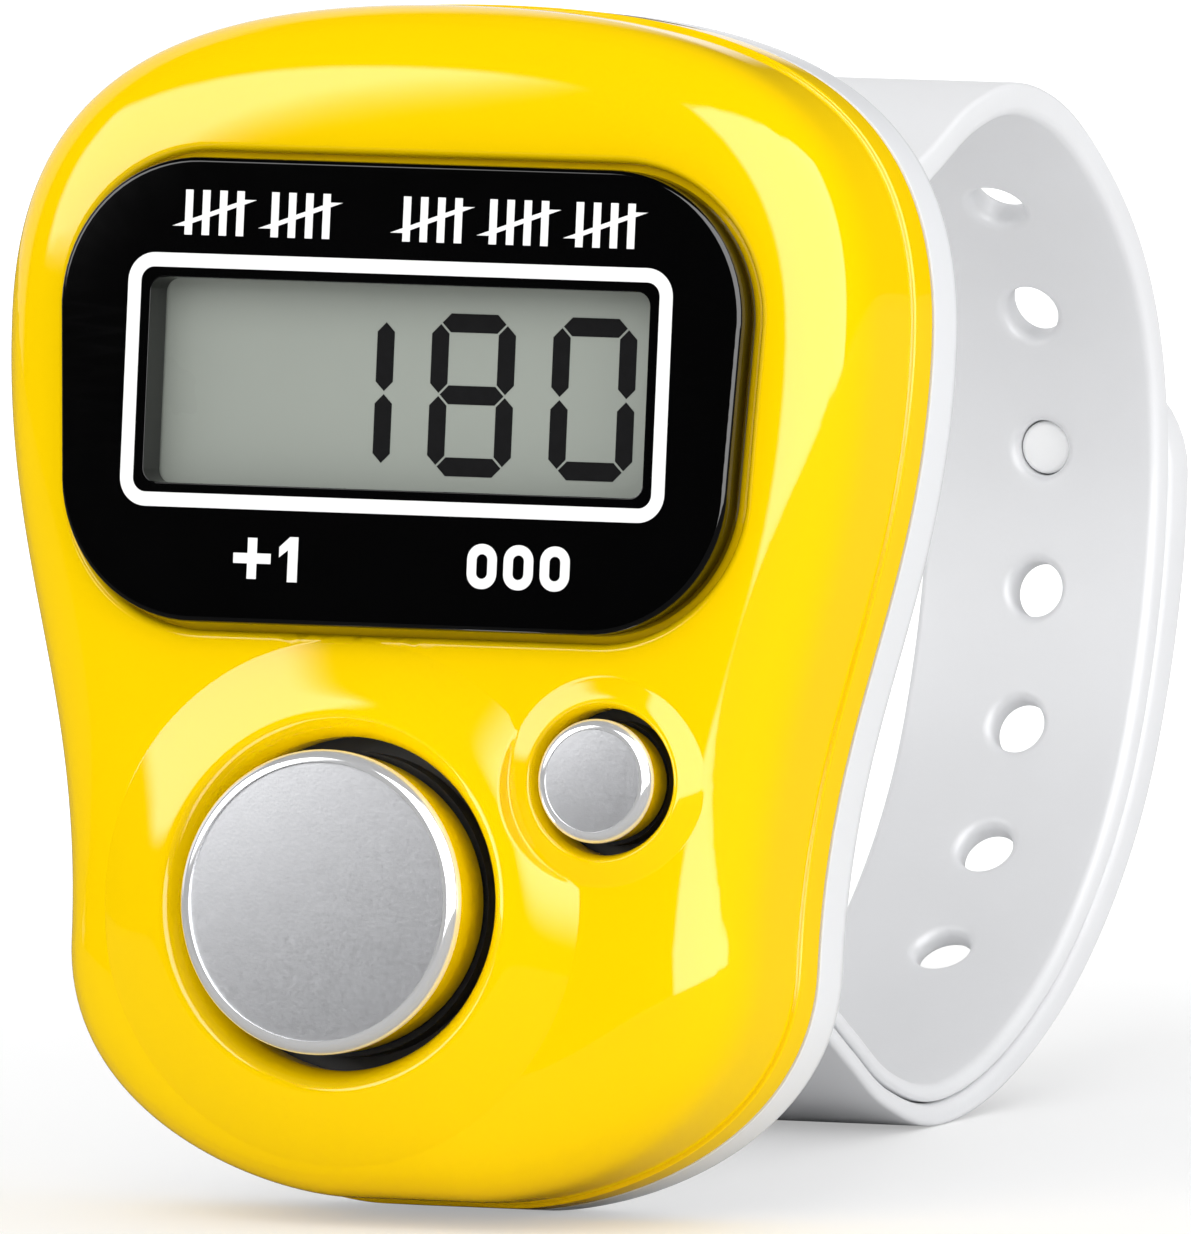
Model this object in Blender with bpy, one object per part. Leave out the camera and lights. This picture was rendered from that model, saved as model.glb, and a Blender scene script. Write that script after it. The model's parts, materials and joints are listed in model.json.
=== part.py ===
"""Finger tally counter with an adjustable strap.

Metres, +Z up, front towards -Y. The counter stands on the lower end of its
body and on the underside of its strap, so it leans back a little. Everything
is modelled in the body's own frame (x across, y up the body, z out of the
front, zero on the flat back) and hangs under one empty that leans.
"""
import math

import bmesh
import bpy
from mathutils import Vector

MM = 0.001

# Body outline, seen from the front
body_height = 42.2 * MM
shoulder_half_width = 16.6 * MM
shoulder_drop = 11.4 * MM
hip_half_width = 13.25 * MM
hip_height = 8.8 * MM
foot_half_width = 2.4 * MM
outline_steps = 10
top_handle_share = 0.62
shoulder_handle_share = 0.77
waist_upper_handle_share = 0.412
waist_lower_handle_share = 0.415
hip_handle_share = 0.73
base_handle_share = 0.42

# Body depths, from the flat back to the display panel
body_depth = 12.0 * MM
panel_stand = 0.95 * MM
rear_shell_depth = 3.15 * MM
seam_gap = 0.15 * MM
flank_depth = 1.51 * MM
edge_round_width = 6.0 * MM
skirt_depth = 1.5 * MM
skirt_step = 0.14 * MM
shell_wall = 1.3 * MM
front_wall = 1.45 * MM
rear_wall = 1.2 * MM
rear_round = 1.7 * MM
rear_round_depth = 1.5 * MM
tongue_clearance = 0.2 * MM
tongue_wall = 0.7 * MM
tongue_height = 1.35 * MM
seat_gap = 0.2 * MM
overrun = 1.0 * MM

# Display panel and the window in it
panel_side_margin = 3.65 * MM
panel_top_margin = 5.85 * MM
panel_foot_margin = 0.45 * MM
panel_taper = 0.3 * MM
panel_corner = 5.2 * MM
panel_thickness = 1.35 * MM
panel_clearance = 0.25 * MM
panel_chamfer = 0.18 * MM
window_width = 19.2 * MM
window_height = 7.2 * MM
window_corner = 0.5 * MM
window_rise = 0.3 * MM

# Liquid crystal display behind the window
glass_side_lap = 1.2 * MM
glass_end_lap = 1.1 * MM
glass_thickness = 1.0 * MM
glass_clearance = 0.3 * MM
film_margin = 0.2 * MM
film_thickness = 0.15 * MM
film_gap = 0.15 * MM
strip_end_margin = 1.7 * MM
strip_width = 1.4 * MM
strip_margin = 0.5 * MM
reflector_gap = 0.3 * MM

# Circuit board and what it carries
board_thickness = 0.8 * MM
board_side_clearance = 0.2 * MM
board_drop = 3.3 * MM
board_tab_height = 5.4 * MM
board_tab_clearance = 0.8 * MM
board_shoulder_clearance = 0.9 * MM
board_hole_clearance = 0.25 * MM
blob_radius = 2.5 * MM
blob_height = 1.1 * MM

# Battery with its two contacts, on the back of the board
cell_radius = 5.8 * MM
cell_floor_clearance = 0.15 * MM
cell_rim_step = 0.35 * MM
cell_cap_radius = 4.3 * MM
contact_sheet = 0.25 * MM
clip_width = 4.4 * MM
clip_side_gap = 0.45 * MM
spring_radius = 3.0 * MM
spring_hole_radius = 1.2 * MM

# Count button with the raised ring round its hole
count_x = -1.73 * MM
count_y = 10.4 * MM
count_radius = 5.35 * MM
count_bevel_width = 0.47 * MM
count_bevel_depth = 0.42 * MM
count_clearance = 0.5 * MM
count_stand = 2.05 * MM
count_flange_lap = 0.55 * MM
count_stem_radius = 1.8 * MM
count_dome_radius = 3.3 * MM
mound_width = 3.35 * MM
mound_height = 0.72 * MM

# Reset button with the low ring round its hole
reset_across = 9.89 * MM
reset_rise = 4.6 * MM
reset_radius = 2.18 * MM
reset_bevel_width = 0.39 * MM
reset_bevel_depth = 0.34 * MM
reset_clearance = 0.39 * MM
reset_stand = 0.95 * MM
reset_flange_lap = 0.53 * MM
reset_stem_radius = 0.9 * MM
reset_dome_radius = 2.0 * MM
reset_ring_width = 1.13 * MM
reset_ring_height = 0.16 * MM

# What both buttons share
flange_thickness = 0.85 * MM
flange_gap = 0.25 * MM
stem_length = 0.25 * MM
dome_skin = 0.45 * MM
dome_foot = 0.3 * MM

# Screws and the bosses that take them
upper_screw_inset = 5.4 * MM
upper_screw_drop = 7.4 * MM
lower_screw_inset = 4.65 * MM
lower_screw_y = 5.6 * MM
screw_radius = 0.65 * MM
screw_length = 7.0 * MM
screw_head_radius = 1.25 * MM
screw_head_height = 0.8 * MM
screw_head_sink = 0.2 * MM
screw_slot_width = 0.34 * MM
screw_slot_depth = 0.4 * MM
screw_clearance = 0.2 * MM
boss_radius = 1.9 * MM
boss_pin_radius = 1.4 * MM
boss_bore_clearance = 0.15 * MM
boss_bore_rest = 0.5 * MM
post_radius = 2.0 * MM
board_post_radius = 1.0 * MM
left_post_inset = 3.05 * MM
left_post_y = 12.0 * MM
right_post_inset = 3.55 * MM
right_post_y = 9.6 * MM

# Strap: both halves, the row of holes and the peg
strap_width = 9.1 * MM
strap_thickness = 1.1 * MM
outer_strap_thickness = 1.65 * MM
thin_strap_thickness = 0.5 * MM
thin_outer_thickness = 0.65 * MM
root_outer_thickness = 1.2 * MM
taper_start = 55.0 * MM
taper_length = 31.0 * MM
root_taper_length = 12.0 * MM
strap_layer_gap = 0.2 * MM
strap_edge_round = 0.3 * MM
strap_depth = 43.9 * MM
strap_low = 5.4 * MM
strap_top_drop = 2.3 * MM
strap_hole_radius = 0.98 * MM
strap_hole_pitch = 5.05 * MM
strap_hole_count = 7
strap_first_hole = 41.1 * MM
strap_tail_rest = 6.5 * MM
holes_before_peg_count = 2
peg_radius = 0.8 * MM
peg_nose_radius = 0.6 * MM
peg_recess = 0.25 * MM
tip_run = 1.6 * MM
tip_length = 7.5 * MM
tip_round = 3.2 * MM
fork_slot_width = 4.2 * MM
fork_slot_end = 23.6 * MM
fork_slot_start = 2.1 * MM
flex_gap = 0.3 * MM
anchor_half_width = 5.6 * MM
anchor_depth = 1.05 * MM
anchor_lip = 1.6 * MM
anchor_slot_clearance = 0.3 * MM
anchor_gap = 0.25 * MM

lean_angle = 7.3

# Depth and height of points along the strap's inner surface, from the upper
# slot in the back round the loop to the lower slot
strap_path_shares = (
    (0.0, 0.771), (0.115, 0.774), (0.253, 0.800), (0.391, 0.850),
    (0.520, 0.917), (0.611, 0.976), (0.694, 1.0), (0.782, 0.983),
    (0.867, 0.928), (0.936, 0.855), (0.979, 0.768), (1.0, 0.664),
    (1.001, 0.554), (0.987, 0.438), (0.956, 0.322), (0.901, 0.214),
    (0.823, 0.116), (0.720, 0.035), (0.616, -0.006), (0.525, 0.004),
    (0.450, 0.044), (0.375, 0.086), (0.276, 0.122), (0.161, 0.145),
    (0.069, 0.155), (0.0, 0.157),
)
# How far in and how high the front edge runs as it rounds over
edge_round_shares = (
    (0.0, 0.0), (0.005, 0.33), (0.02, 0.49), (0.065, 0.66), (0.14, 0.785),
    (0.25, 0.88), (0.42, 0.95), (0.68, 0.985), (1.0, 1.0),
)
# Cross-section of the raised ring, from the hole's edge to its foot
mound_shares = (
    (0.0, 0.0), (0.06, 0.16), (0.2, 0.42), (0.42, 0.86), (0.62, 1.0),
    (0.8, 0.82), (0.95, 0.45), (1.0, 0.2),
)


shoulder_height = body_height - shoulder_drop
count_face_radius = count_radius - count_bevel_width
count_hole_radius = count_radius + count_clearance
count_flange_radius = count_hole_radius + count_flange_lap
mound_radius = count_hole_radius + mound_width
reset_x = count_x + reset_across
reset_y = count_y + reset_rise
reset_face_radius = reset_radius - reset_bevel_width
reset_hole_radius = reset_radius + reset_clearance
reset_flange_radius = reset_hole_radius + reset_flange_lap
reset_ring_radius = reset_hole_radius + reset_ring_width
panel_width = 2 * (shoulder_half_width - panel_side_margin)
panel_bottom = count_y + mound_radius + panel_foot_margin
panel_height = body_height - panel_top_margin - panel_bottom
panel_centre_height = panel_bottom + panel_height / 2
window_centre_height = panel_centre_height + window_rise
glass_width = window_width + 2 * glass_side_lap
glass_height = window_height + 2 * glass_end_lap
strip_length = glass_width - 2 * strip_end_margin
upper_screw_x = shoulder_half_width - upper_screw_inset
upper_screw_y = body_height - upper_screw_drop
lower_screw_x = hip_half_width - lower_screw_inset
board_tab_half_width = lower_screw_x - boss_radius - board_tab_clearance
board_shoulder_height = lower_screw_y + boss_radius + board_shoulder_clearance
strap_span = body_height - strap_top_drop - strap_low
strap_ends_share = (strap_path_shares[0][1] + strap_path_shares[-1][1]) / 2
cell_centre_height = strap_low + strap_ends_share * strap_span
panel_face = body_depth
front_face = panel_face - panel_stand
panel_back = panel_face - panel_thickness
pocket_floor = panel_back - film_gap
ceiling = front_face - front_wall
front_seam = rear_shell_depth + seam_gap
front_skirt_top = front_seam + skirt_depth
edge_round_start = front_skirt_top + skirt_step + flank_depth
edge_round_depth = front_face - edge_round_start
polariser_top = panel_back - film_gap
polariser_bottom = polariser_top - film_thickness
glass_top = polariser_bottom - film_gap
glass_bottom = glass_top - glass_thickness
board_top = ceiling - board_drop
board_bottom = board_top - board_thickness
strip_top = glass_bottom - seat_gap
flange_top = ceiling - flange_gap
flange_bottom = flange_top - flange_thickness
stem_bottom = flange_bottom - stem_length
dome_top = stem_bottom - seat_gap
dome_bottom = board_top + seat_gap
boss_shoulder = board_top + seat_gap
screw_post_top = rear_shell_depth
boss_pin_end = screw_post_top + seam_gap
cavity_inset = shell_wall + tongue_clearance + tongue_wall
board_inset = cavity_inset + board_side_clearance
tongue_inset = shell_wall + tongue_clearance


def material(name, colour, roughness, metallic=0.0, transmission=0.0):
    mat = bpy.data.materials.new(name)
    mat.use_nodes = True
    shader = mat.node_tree.nodes["Principled BSDF"]
    shader.inputs["Base Color"].default_value = (*colour, 1.0)
    shader.inputs["Roughness"].default_value = roughness
    shader.inputs["Metallic"].default_value = metallic
    shader.inputs["Transmission Weight"].default_value = transmission
    return mat


def bezier(start, first, second, end, steps):
    points = []
    for i in range(steps):
        t = i / steps
        u = 1.0 - t
        x = u ** 3 * start[0] + 3 * u * u * t * first[0]
        x += 3 * u * t * t * second[0] + t ** 3 * end[0]
        y = u ** 3 * start[1] + 3 * u * u * t * first[1]
        y += 3 * u * t * t * second[1] + t ** 3 * end[1]
        points.append((x, y))
    return points


def body_half():
    """Right half of the body outline, from the top down to the end of the foot."""
    top_drop = body_height - shoulder_height
    flank = shoulder_height - hip_height
    half = bezier(
        (0.0, body_height),
        (shoulder_half_width * top_handle_share, body_height),
        (shoulder_half_width, shoulder_height + top_drop * shoulder_handle_share),
        (shoulder_half_width, shoulder_height),
        outline_steps,
    )
    half += bezier(
        (shoulder_half_width, shoulder_height),
        (shoulder_half_width, shoulder_height - flank * waist_upper_handle_share),
        (hip_half_width, hip_height + flank * waist_lower_handle_share),
        (hip_half_width, hip_height),
        outline_steps,
    )
    half += bezier(
        (hip_half_width, hip_height),
        (hip_half_width, hip_height - hip_height * hip_handle_share),
        (hip_half_width * base_handle_share, 0.0),
        (foot_half_width, 0.0),
        outline_steps,
    )
    half.append((foot_half_width, 0.0))
    return half


def body_outline(inset):
    """Closed body outline, moved inwards along its own normals."""
    half = body_half()
    closed = half + [(-x, y) for x, y in reversed(half[1:])]
    count = len(closed)
    moved = []
    for i, (x, y) in enumerate(closed):
        before = closed[i - 1]
        after = closed[(i + 1) % count]
        run_x = after[0] - before[0]
        run_y = after[1] - before[1]
        length = math.hypot(run_x, run_y)
        moved.append((x + run_y / length * inset, y - run_x / length * inset))
    return moved


def round_box(width, height, corner, centre_y=0.0, taper=0.0, steps=8):
    """Rectangle with round corners, wider at the top by the taper."""
    points = []
    for quarter in range(4):
        side = 1.0 if quarter in (0, 3) else -1.0
        level = 1.0 if quarter < 2 else -1.0
        half = width / 2 + level * taper / 2
        for i in range(steps + 1):
            angle = math.pi / 2 * (quarter + i / steps)
            x = side * (half - corner) + corner * math.cos(angle)
            y = level * (height / 2 - corner) + corner * math.sin(angle)
            points.append((x, centre_y + y))
    return points


def finish(name, bm, mat, smooth=True, origin=None):
    bmesh.ops.recalc_face_normals(bm, faces=bm.faces)
    mesh = bpy.data.meshes.new(name)
    if origin is not None:
        bmesh.ops.translate(bm, vec=-Vector(origin), verts=bm.verts)
    bm.to_mesh(mesh)
    bm.free()
    if mat is not None:
        mesh.materials.append(mat)
    if smooth:
        mesh.shade_smooth()
        mesh.set_sharp_from_angle(angle=math.radians(30))
    obj = bpy.data.objects.new(name, mesh)
    bpy.context.scene.collection.objects.link(obj)
    obj.parent = body_frame
    if origin is not None:
        obj.location = origin
    return obj


def loft(name, rings, mat, smooth=True, origin=None):
    """Solid through equal rings of points, closed with a face at each end."""
    bm = bmesh.new()
    loops = [[bm.verts.new(p) for p in ring] for ring in rings]
    for lower, upper in zip(loops, loops[1:]):
        count = len(lower)
        for i in range(count):
            j = (i + 1) % count
            bm.faces.new((lower[i], lower[j], upper[j], upper[i]))
    bm.faces.new(tuple(reversed(loops[0])))
    bm.faces.new(tuple(loops[-1]))
    return finish(name, bm, mat, smooth, origin)


def level_ring(points, z):
    return [(x, y, z) for x, y in points]


def prism(name, points, bottom, top, mat, smooth=True):
    return loft(name, [level_ring(points, bottom), level_ring(points, top)], mat, smooth)


def turned(name, profile, centre, mat, steps=48, origin=None):
    """Solid turned about the z direction from an (r, z) profile."""
    bm = bmesh.new()
    columns = []
    for k in range(steps):
        angle = 2 * math.pi * k / steps
        column = []
        for r, z in profile:
            if r == 0.0 and k > 0:
                column.append(columns[0][len(column)])
                continue
            x = centre[0] + r * math.cos(angle)
            y = centre[1] + r * math.sin(angle)
            column.append(bm.verts.new((x, y, z)))
        columns.append(column)
    closed = profile[0][0] != 0.0
    for k in range(steps):
        this, that = columns[k], columns[(k + 1) % steps]
        last = len(profile) if closed else len(profile) - 1
        for i in range(last):
            j = (i + 1) % len(profile)
            corners = []
            for vert in (this[i], that[i], that[j], this[j]):
                if vert not in corners:
                    corners.append(vert)
            if len(corners) > 2:
                bm.faces.new(corners)
    return finish(name, bm, mat, True, origin)


def box(name, low, high, mat):
    points = [(low[0], low[1]), (high[0], low[1]), (high[0], high[1]), (low[0], high[1])]
    return prism(name, points, low[2], high[2], mat, False)


def cylinder(name, centre, radius, bottom, top, mat=None, steps=32):
    points = []
    for k in range(steps):
        angle = 2 * math.pi * k / steps
        points.append((centre[0] + radius * math.cos(angle), centre[1] + radius * math.sin(angle)))
    return prism(name, points, bottom, top, mat)


def combine(target, tool, operation):
    """Boolean with a helper solid that is then hidden."""
    modifier = target.modifiers.new(operation.title() + " " + tool.name, "BOOLEAN")
    modifier.operation = operation
    modifier.solver = "EXACT"
    modifier.object = tool
    tool.hide_render = True
    tool.display_type = "WIRE"
    return target


def cut(target, tool):
    return combine(target, tool, "DIFFERENCE")


def add(target, tool):
    return combine(target, tool, "UNION")


for stale in list(bpy.data.objects):
    bpy.data.objects.remove(stale, do_unlink=True)

body_frame = bpy.data.objects.new("body_frame", None)
bpy.context.scene.collection.objects.link(body_frame)

yellow = material("yellow_gloss_plastic", (0.95, 0.62, 0.0), 0.12)
white = material("white_gloss_plastic", (0.86, 0.87, 0.88), 0.25)
strap_white = material("white_soft_strap", (0.84, 0.85, 0.86), 0.4)
black = material("black_gloss_plastic", (0.004, 0.004, 0.005), 0.08)
lcd_glass_material = material("lcd_glass", (0.62, 0.68, 0.62), 0.05, 0.0, 0.6)
lcd_film = material("lcd_film", (0.36, 0.40, 0.36), 0.3)
reflector_foil = material("reflector_foil", (0.6, 0.62, 0.6), 0.3, 0.6)
strip_rubber = material("zebra_rubber", (0.25, 0.25, 0.26), 0.6)
foam = material("grey_foam", (0.2, 0.2, 0.21), 0.9)
board_green = material("board_laminate", (0.03, 0.2, 0.06), 0.5)
epoxy = material("black_epoxy", (0.01, 0.01, 0.01), 0.35)
steel = material("bright_steel", (0.7, 0.7, 0.7), 0.25, 1.0)
chrome = material("satin_chrome", (0.75, 0.76, 0.78), 0.22, 1.0)
dome_rubber = material("dome_rubber", (0.5, 0.5, 0.5), 0.7)


# Front shell
def front_shell_rings():
    rings = [
        level_ring(body_outline(0.0), front_seam),
        level_ring(body_outline(0.0), front_skirt_top),
        level_ring(body_outline(skirt_step), front_skirt_top + skirt_step),
    ]
    for inward, rise in edge_round_shares:
        inset = skirt_step + inward * (edge_round_width - skirt_step)
        rings.append(level_ring(body_outline(inset), edge_round_start + rise * edge_round_depth))
    return rings


def ring_profile(inner, outer, foot, height):
    profile = [(inner, foot)]
    for outward, rise in mound_shares:
        radius = inner + outward * (outer - inner)
        profile.append((radius, front_face + (rise - mound_shares[1][1]) * height))
    profile.append((outer, foot))
    return profile


front_shell = loft("front_shell", front_shell_rings(), yellow)
ring_foot = ceiling + (front_face - ceiling) / 4
add(front_shell, turned("count_mound",
                        ring_profile(count_hole_radius, mound_radius, ring_foot, mound_height),
                        (count_x, count_y), yellow, 48))
add(front_shell, turned("reset_mound",
                        ring_profile(reset_hole_radius, reset_ring_radius, ring_foot, reset_ring_height),
                        (reset_x, reset_y), yellow, 32))
cut(front_shell, prism("front_cavity", body_outline(shell_wall), front_seam - overrun, ceiling, None))
screws = (
    ("upper_left", -upper_screw_x, upper_screw_y),
    ("upper_right", upper_screw_x, upper_screw_y),
    ("lower_left", -lower_screw_x, lower_screw_y),
    ("lower_right", lower_screw_x, lower_screw_y),
)
boss_bore_end = screw_head_sink + screw_length + boss_bore_rest
boss_root = (ceiling + front_face) / 2
for corner, x, y in screws:
    profile = [
        (screw_radius + boss_bore_clearance, boss_pin_end),
        (boss_pin_radius, boss_pin_end),
        (boss_pin_radius, boss_shoulder),
        (boss_radius, boss_shoulder),
        (boss_radius, boss_root),
        (0.0, boss_root),
        (0.0, boss_bore_end),
        (screw_radius + boss_bore_clearance, boss_bore_end),
    ]
    profile = profile[5:] + profile[:5]
    profile = [profile[1]] + profile[2:] + [profile[0]]
    add(front_shell, turned("boss_" + corner, profile, (x, y), yellow, 16))
for side, x, y in (("left", left_post_inset - hip_half_width, left_post_y),
                   ("right", hip_half_width - right_post_inset, right_post_y)):
    add(front_shell, cylinder("board_post_" + side, (x, y), board_post_radius,
                              boss_shoulder, boss_root, yellow, 12))
panel_round = min(panel_corner, panel_height * 0.45)
pocket = round_box(panel_width + 2 * panel_clearance, panel_height + 2 * panel_clearance,
                   panel_round + panel_clearance, panel_centre_height, panel_taper)
cut(front_shell, prism("panel_pocket", pocket, pocket_floor, body_depth + overrun, None))
glass_hole = round_box(glass_width + 2 * glass_clearance, glass_height + 2 * glass_clearance,
                       window_corner, window_centre_height, 0.0, 3)
cut(front_shell, prism("glass_hole", glass_hole, ceiling - overrun, body_depth + overrun, None))
cut(front_shell, cylinder("count_hole", (count_x, count_y), count_hole_radius,
                          ceiling - overrun, body_depth + overrun, None, 48))
cut(front_shell, cylinder("reset_hole", (reset_x, reset_y), reset_hole_radius,
                          ceiling - overrun, body_depth + overrun, None, 32))


# Rear shell
rear_shell = loft("rear_shell", [
    level_ring(body_outline(rear_round), 0.0),
    level_ring(body_outline(rear_round * 0.5), rear_round_depth * 0.12),
    level_ring(body_outline(rear_round * 0.18), rear_round_depth * 0.45),
    level_ring(body_outline(0.0), rear_round_depth),
    level_ring(body_outline(0.0), rear_shell_depth),
    level_ring(body_outline(tongue_inset), rear_shell_depth),
    level_ring(body_outline(tongue_inset), rear_shell_depth + tongue_height),
], white)
cut(rear_shell, prism("rear_cavity", body_outline(cavity_inset), rear_wall,
                      rear_shell_depth + tongue_height + overrun, None))
for corner, x, y in screws:
    add(rear_shell, cylinder("post_" + corner, (x, y), post_radius, rear_wall / 2,
                             screw_post_top, white, 20))
    cut(rear_shell, cylinder("pin_room_" + corner, (x, y), boss_radius + tongue_clearance,
                             screw_post_top, rear_shell_depth + tongue_height + overrun, None, 20))
    cut(rear_shell, cylinder("screw_hole_" + corner, (x, y), screw_radius + screw_clearance,
                             -overrun, screw_post_top + overrun, None, 20))
    head_seat = screw_head_sink + screw_head_height + seat_gap
    cut(rear_shell, cylinder("head_seat_" + corner, (x, y), screw_head_radius + screw_clearance,
                             -overrun, head_seat, None, 20))


# Display panel, in front of the shell's pocket
def panel_ring(inset, z):
    return level_ring(round_box(panel_width - 2 * inset, panel_height - 2 * inset,
                                panel_round - inset, panel_centre_height, panel_taper), z)


display_panel = loft("display_panel", [
    panel_ring(0.0, panel_back),
    panel_ring(0.0, panel_face - panel_chamfer),
    panel_ring(panel_chamfer, panel_face),
], black)
window = round_box(window_width, window_height, window_corner, window_centre_height, 0.0, 3)
cut(display_panel, prism("window_hole", window, panel_back - overrun, panel_face + overrun, None))


# Display glass with its films and the strips behind it
glass_outline = round_box(glass_width, glass_height, window_corner, window_centre_height, 0.0, 2)
prism("lcd_glass", glass_outline, glass_bottom, glass_top, lcd_glass_material)
film_outline = round_box(glass_width - 2 * film_margin, glass_height - 2 * film_margin,
                         window_corner, window_centre_height, 0.0, 2)
prism("lcd_polariser", film_outline, polariser_bottom, polariser_top, lcd_film)
lower_strip_y = window_centre_height - glass_height / 2 + strip_margin
upper_strip_y = window_centre_height + glass_height / 2 - strip_margin - strip_width
strip_bottom = board_top + seat_gap
box("zebra_strip", (-strip_length / 2, lower_strip_y, strip_bottom),
    (strip_length / 2, lower_strip_y + strip_width, strip_top), strip_rubber)
box("lcd_support_strip", (-strip_length / 2, upper_strip_y, strip_bottom),
    (strip_length / 2, upper_strip_y + strip_width, strip_top), foam)
box("lcd_reflector",
    (-strip_length / 2, lower_strip_y + strip_width + reflector_gap, strip_top - film_thickness),
    (strip_length / 2, upper_strip_y - reflector_gap, strip_top), reflector_foil)


# Circuit board, its chip and the battery
def board_outline():
    edge = [(x, y) for x, y in body_outline(board_inset) if x > 0.0 and y > board_shoulder_height]
    edge.append((edge[-1][0], board_shoulder_height))
    edge.append((board_tab_half_width, board_shoulder_height))
    edge.append((board_tab_half_width, board_tab_height))
    return edge + [(-x, y) for x, y in reversed(edge)]


circuit_board = prism("circuit_board", board_outline(), board_bottom, board_top, board_green)
for corner, x, y in screws[:2]:
    cut(circuit_board, cylinder("board_hole_" + corner, (x, y), boss_pin_radius + board_hole_clearance,
                                board_bottom - overrun, board_top + overrun, None, 20))
blob_bottom = board_top + seat_gap
turned("controller_blob", [
    (0.0, blob_bottom),
    (blob_radius, blob_bottom),
    (blob_radius * 0.93, blob_bottom + blob_height * 0.45),
    (blob_radius * 0.7, blob_bottom + blob_height * 0.8),
    (blob_radius * 0.35, blob_bottom + blob_height * 0.97),
    (0.0, blob_bottom + blob_height),
], (0.0, window_centre_height), epoxy, 20)

spring_top = board_bottom - seat_gap
spring_bottom = spring_top - contact_sheet
cell_top = spring_bottom - seat_gap
clip_bottom = rear_wall + cell_floor_clearance
clip_top = clip_bottom + contact_sheet
cell_bottom = clip_top + seat_gap
cell_centre = (0.0, cell_centre_height)
turned("battery_cell", [
    (0.0, cell_bottom),
    (cell_radius, cell_bottom),
    (cell_radius, cell_top - cell_rim_step),
    (cell_radius - cell_rim_step, cell_top - cell_rim_step),
    (cell_cap_radius, cell_top - cell_rim_step),
    (cell_cap_radius, cell_top),
    (0.0, cell_top),
], cell_centre, steel, 36)
turned("battery_spring", [
    (spring_hole_radius, spring_bottom),
    (spring_radius, spring_bottom),
    (spring_radius, spring_top),
    (spring_hole_radius, spring_top),
], cell_centre, steel, 24)
clip_inside = cell_radius + clip_side_gap
clip_outside = clip_inside + contact_sheet
clip_section = [
    (-clip_outside, clip_bottom), (clip_outside, clip_bottom), (clip_outside, spring_top),
    (clip_inside, spring_top), (clip_inside, clip_top), (-clip_inside, clip_top),
    (-clip_inside, spring_top), (-clip_outside, spring_top),
]
clip_low = cell_centre_height - clip_width / 2
clip_high = cell_centre_height + clip_width / 2
loft("battery_clip", [
    [(x, clip_low, z) for x, z in clip_section],
    [(x, clip_high, z) for x, z in clip_section],
], steel, False)


# Buttons and the rubber domes that lift them
def button(name, centre, radius, face_radius, bevel_depth, stand, flange_radius, stem_radius, steps):
    face = front_face + stand
    return turned(name, [
        (0.0, stem_bottom),
        (stem_radius, stem_bottom),
        (stem_radius, flange_bottom),
        (flange_radius, flange_bottom),
        (flange_radius, flange_top),
        (radius, flange_top),
        (radius, face - bevel_depth),
        (radius - (radius - face_radius) * 0.25, face - bevel_depth * 0.4),
        (face_radius, face),
        (0.0, face),
    ], centre, chrome, steps, (centre[0], centre[1], stem_bottom))


button("count_button", (count_x, count_y), count_radius, count_face_radius, count_bevel_depth,
       count_stand, count_flange_radius, count_stem_radius, 48)
button("reset_button", (reset_x, reset_y), reset_radius, reset_face_radius, reset_bevel_depth,
       reset_stand, reset_flange_radius, reset_stem_radius, 32)


def dome(name, centre, radius, top_radius):
    shoulder = dome_bottom + dome_foot
    return turned(name, [
        (0.0, dome_top - dome_skin),
        (top_radius - dome_skin, dome_top - dome_skin),
        (radius - 2 * dome_skin, dome_bottom),
        (radius, dome_bottom),
        (radius, shoulder),
        (radius - dome_skin, shoulder),
        (top_radius, dome_top),
        (0.0, dome_top),
    ], centre, dome_rubber, 20)


dome("count_dome", (count_x, count_y), count_dome_radius, count_stem_radius)
dome("reset_dome", (reset_x, reset_y), reset_dome_radius, reset_stem_radius)


# Screws, each with a cross in its head
for corner, x, y in screws:
    head_top = screw_head_sink + screw_head_height
    tip = screw_head_sink + screw_length
    screw = turned("screw_" + corner, [
        (0.0, screw_head_sink),
        (screw_head_radius, screw_head_sink),
        (screw_head_radius, head_top),
        (screw_radius, head_top),
        (screw_radius, tip - screw_radius),
        (screw_radius / 4, tip),
        (0.0, tip),
    ], (x, y), steel, 16)
    arm = screw_head_radius * 0.62
    half_slot = screw_slot_width / 2
    for tag, half_x, half_y in (("across", arm, half_slot), ("along", half_slot, arm)):
        cut(screw, box("slot_" + tag + "_" + corner, (x - half_x, y - half_y, screw_head_sink - overrun),
                       (x + half_x, y + half_y, screw_head_sink + screw_slot_depth), None))


# Strap path: an even curve through the shares, with its length along it
def strap_points():
    return [Vector((-depth * strap_depth, strap_low + height * strap_span))
            for depth, height in strap_path_shares]


def catmull(points, steps):
    line = []
    padded = [2 * points[0] - points[1]] + points + [2 * points[-1] - points[-2]]
    for a, b, c, d in zip(padded, padded[1:], padded[2:], padded[3:]):
        for i in range(steps):
            t = i / steps
            line.append(0.5 * ((2 * b) + (c - a) * t + (2 * a - 5 * b + 4 * c - d) * t * t
                               + (3 * b - a - 3 * c + d) * t ** 3))
    line.append(points[-1].copy())
    return line


path_line = catmull(strap_points(), 10)
path_runs = [0.0]
for here, there in zip(path_line, path_line[1:]):
    path_runs.append(path_runs[-1] + (there - here).length)
path_length = path_runs[-1]
tail_end = path_length - strap_tail_rest


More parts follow.
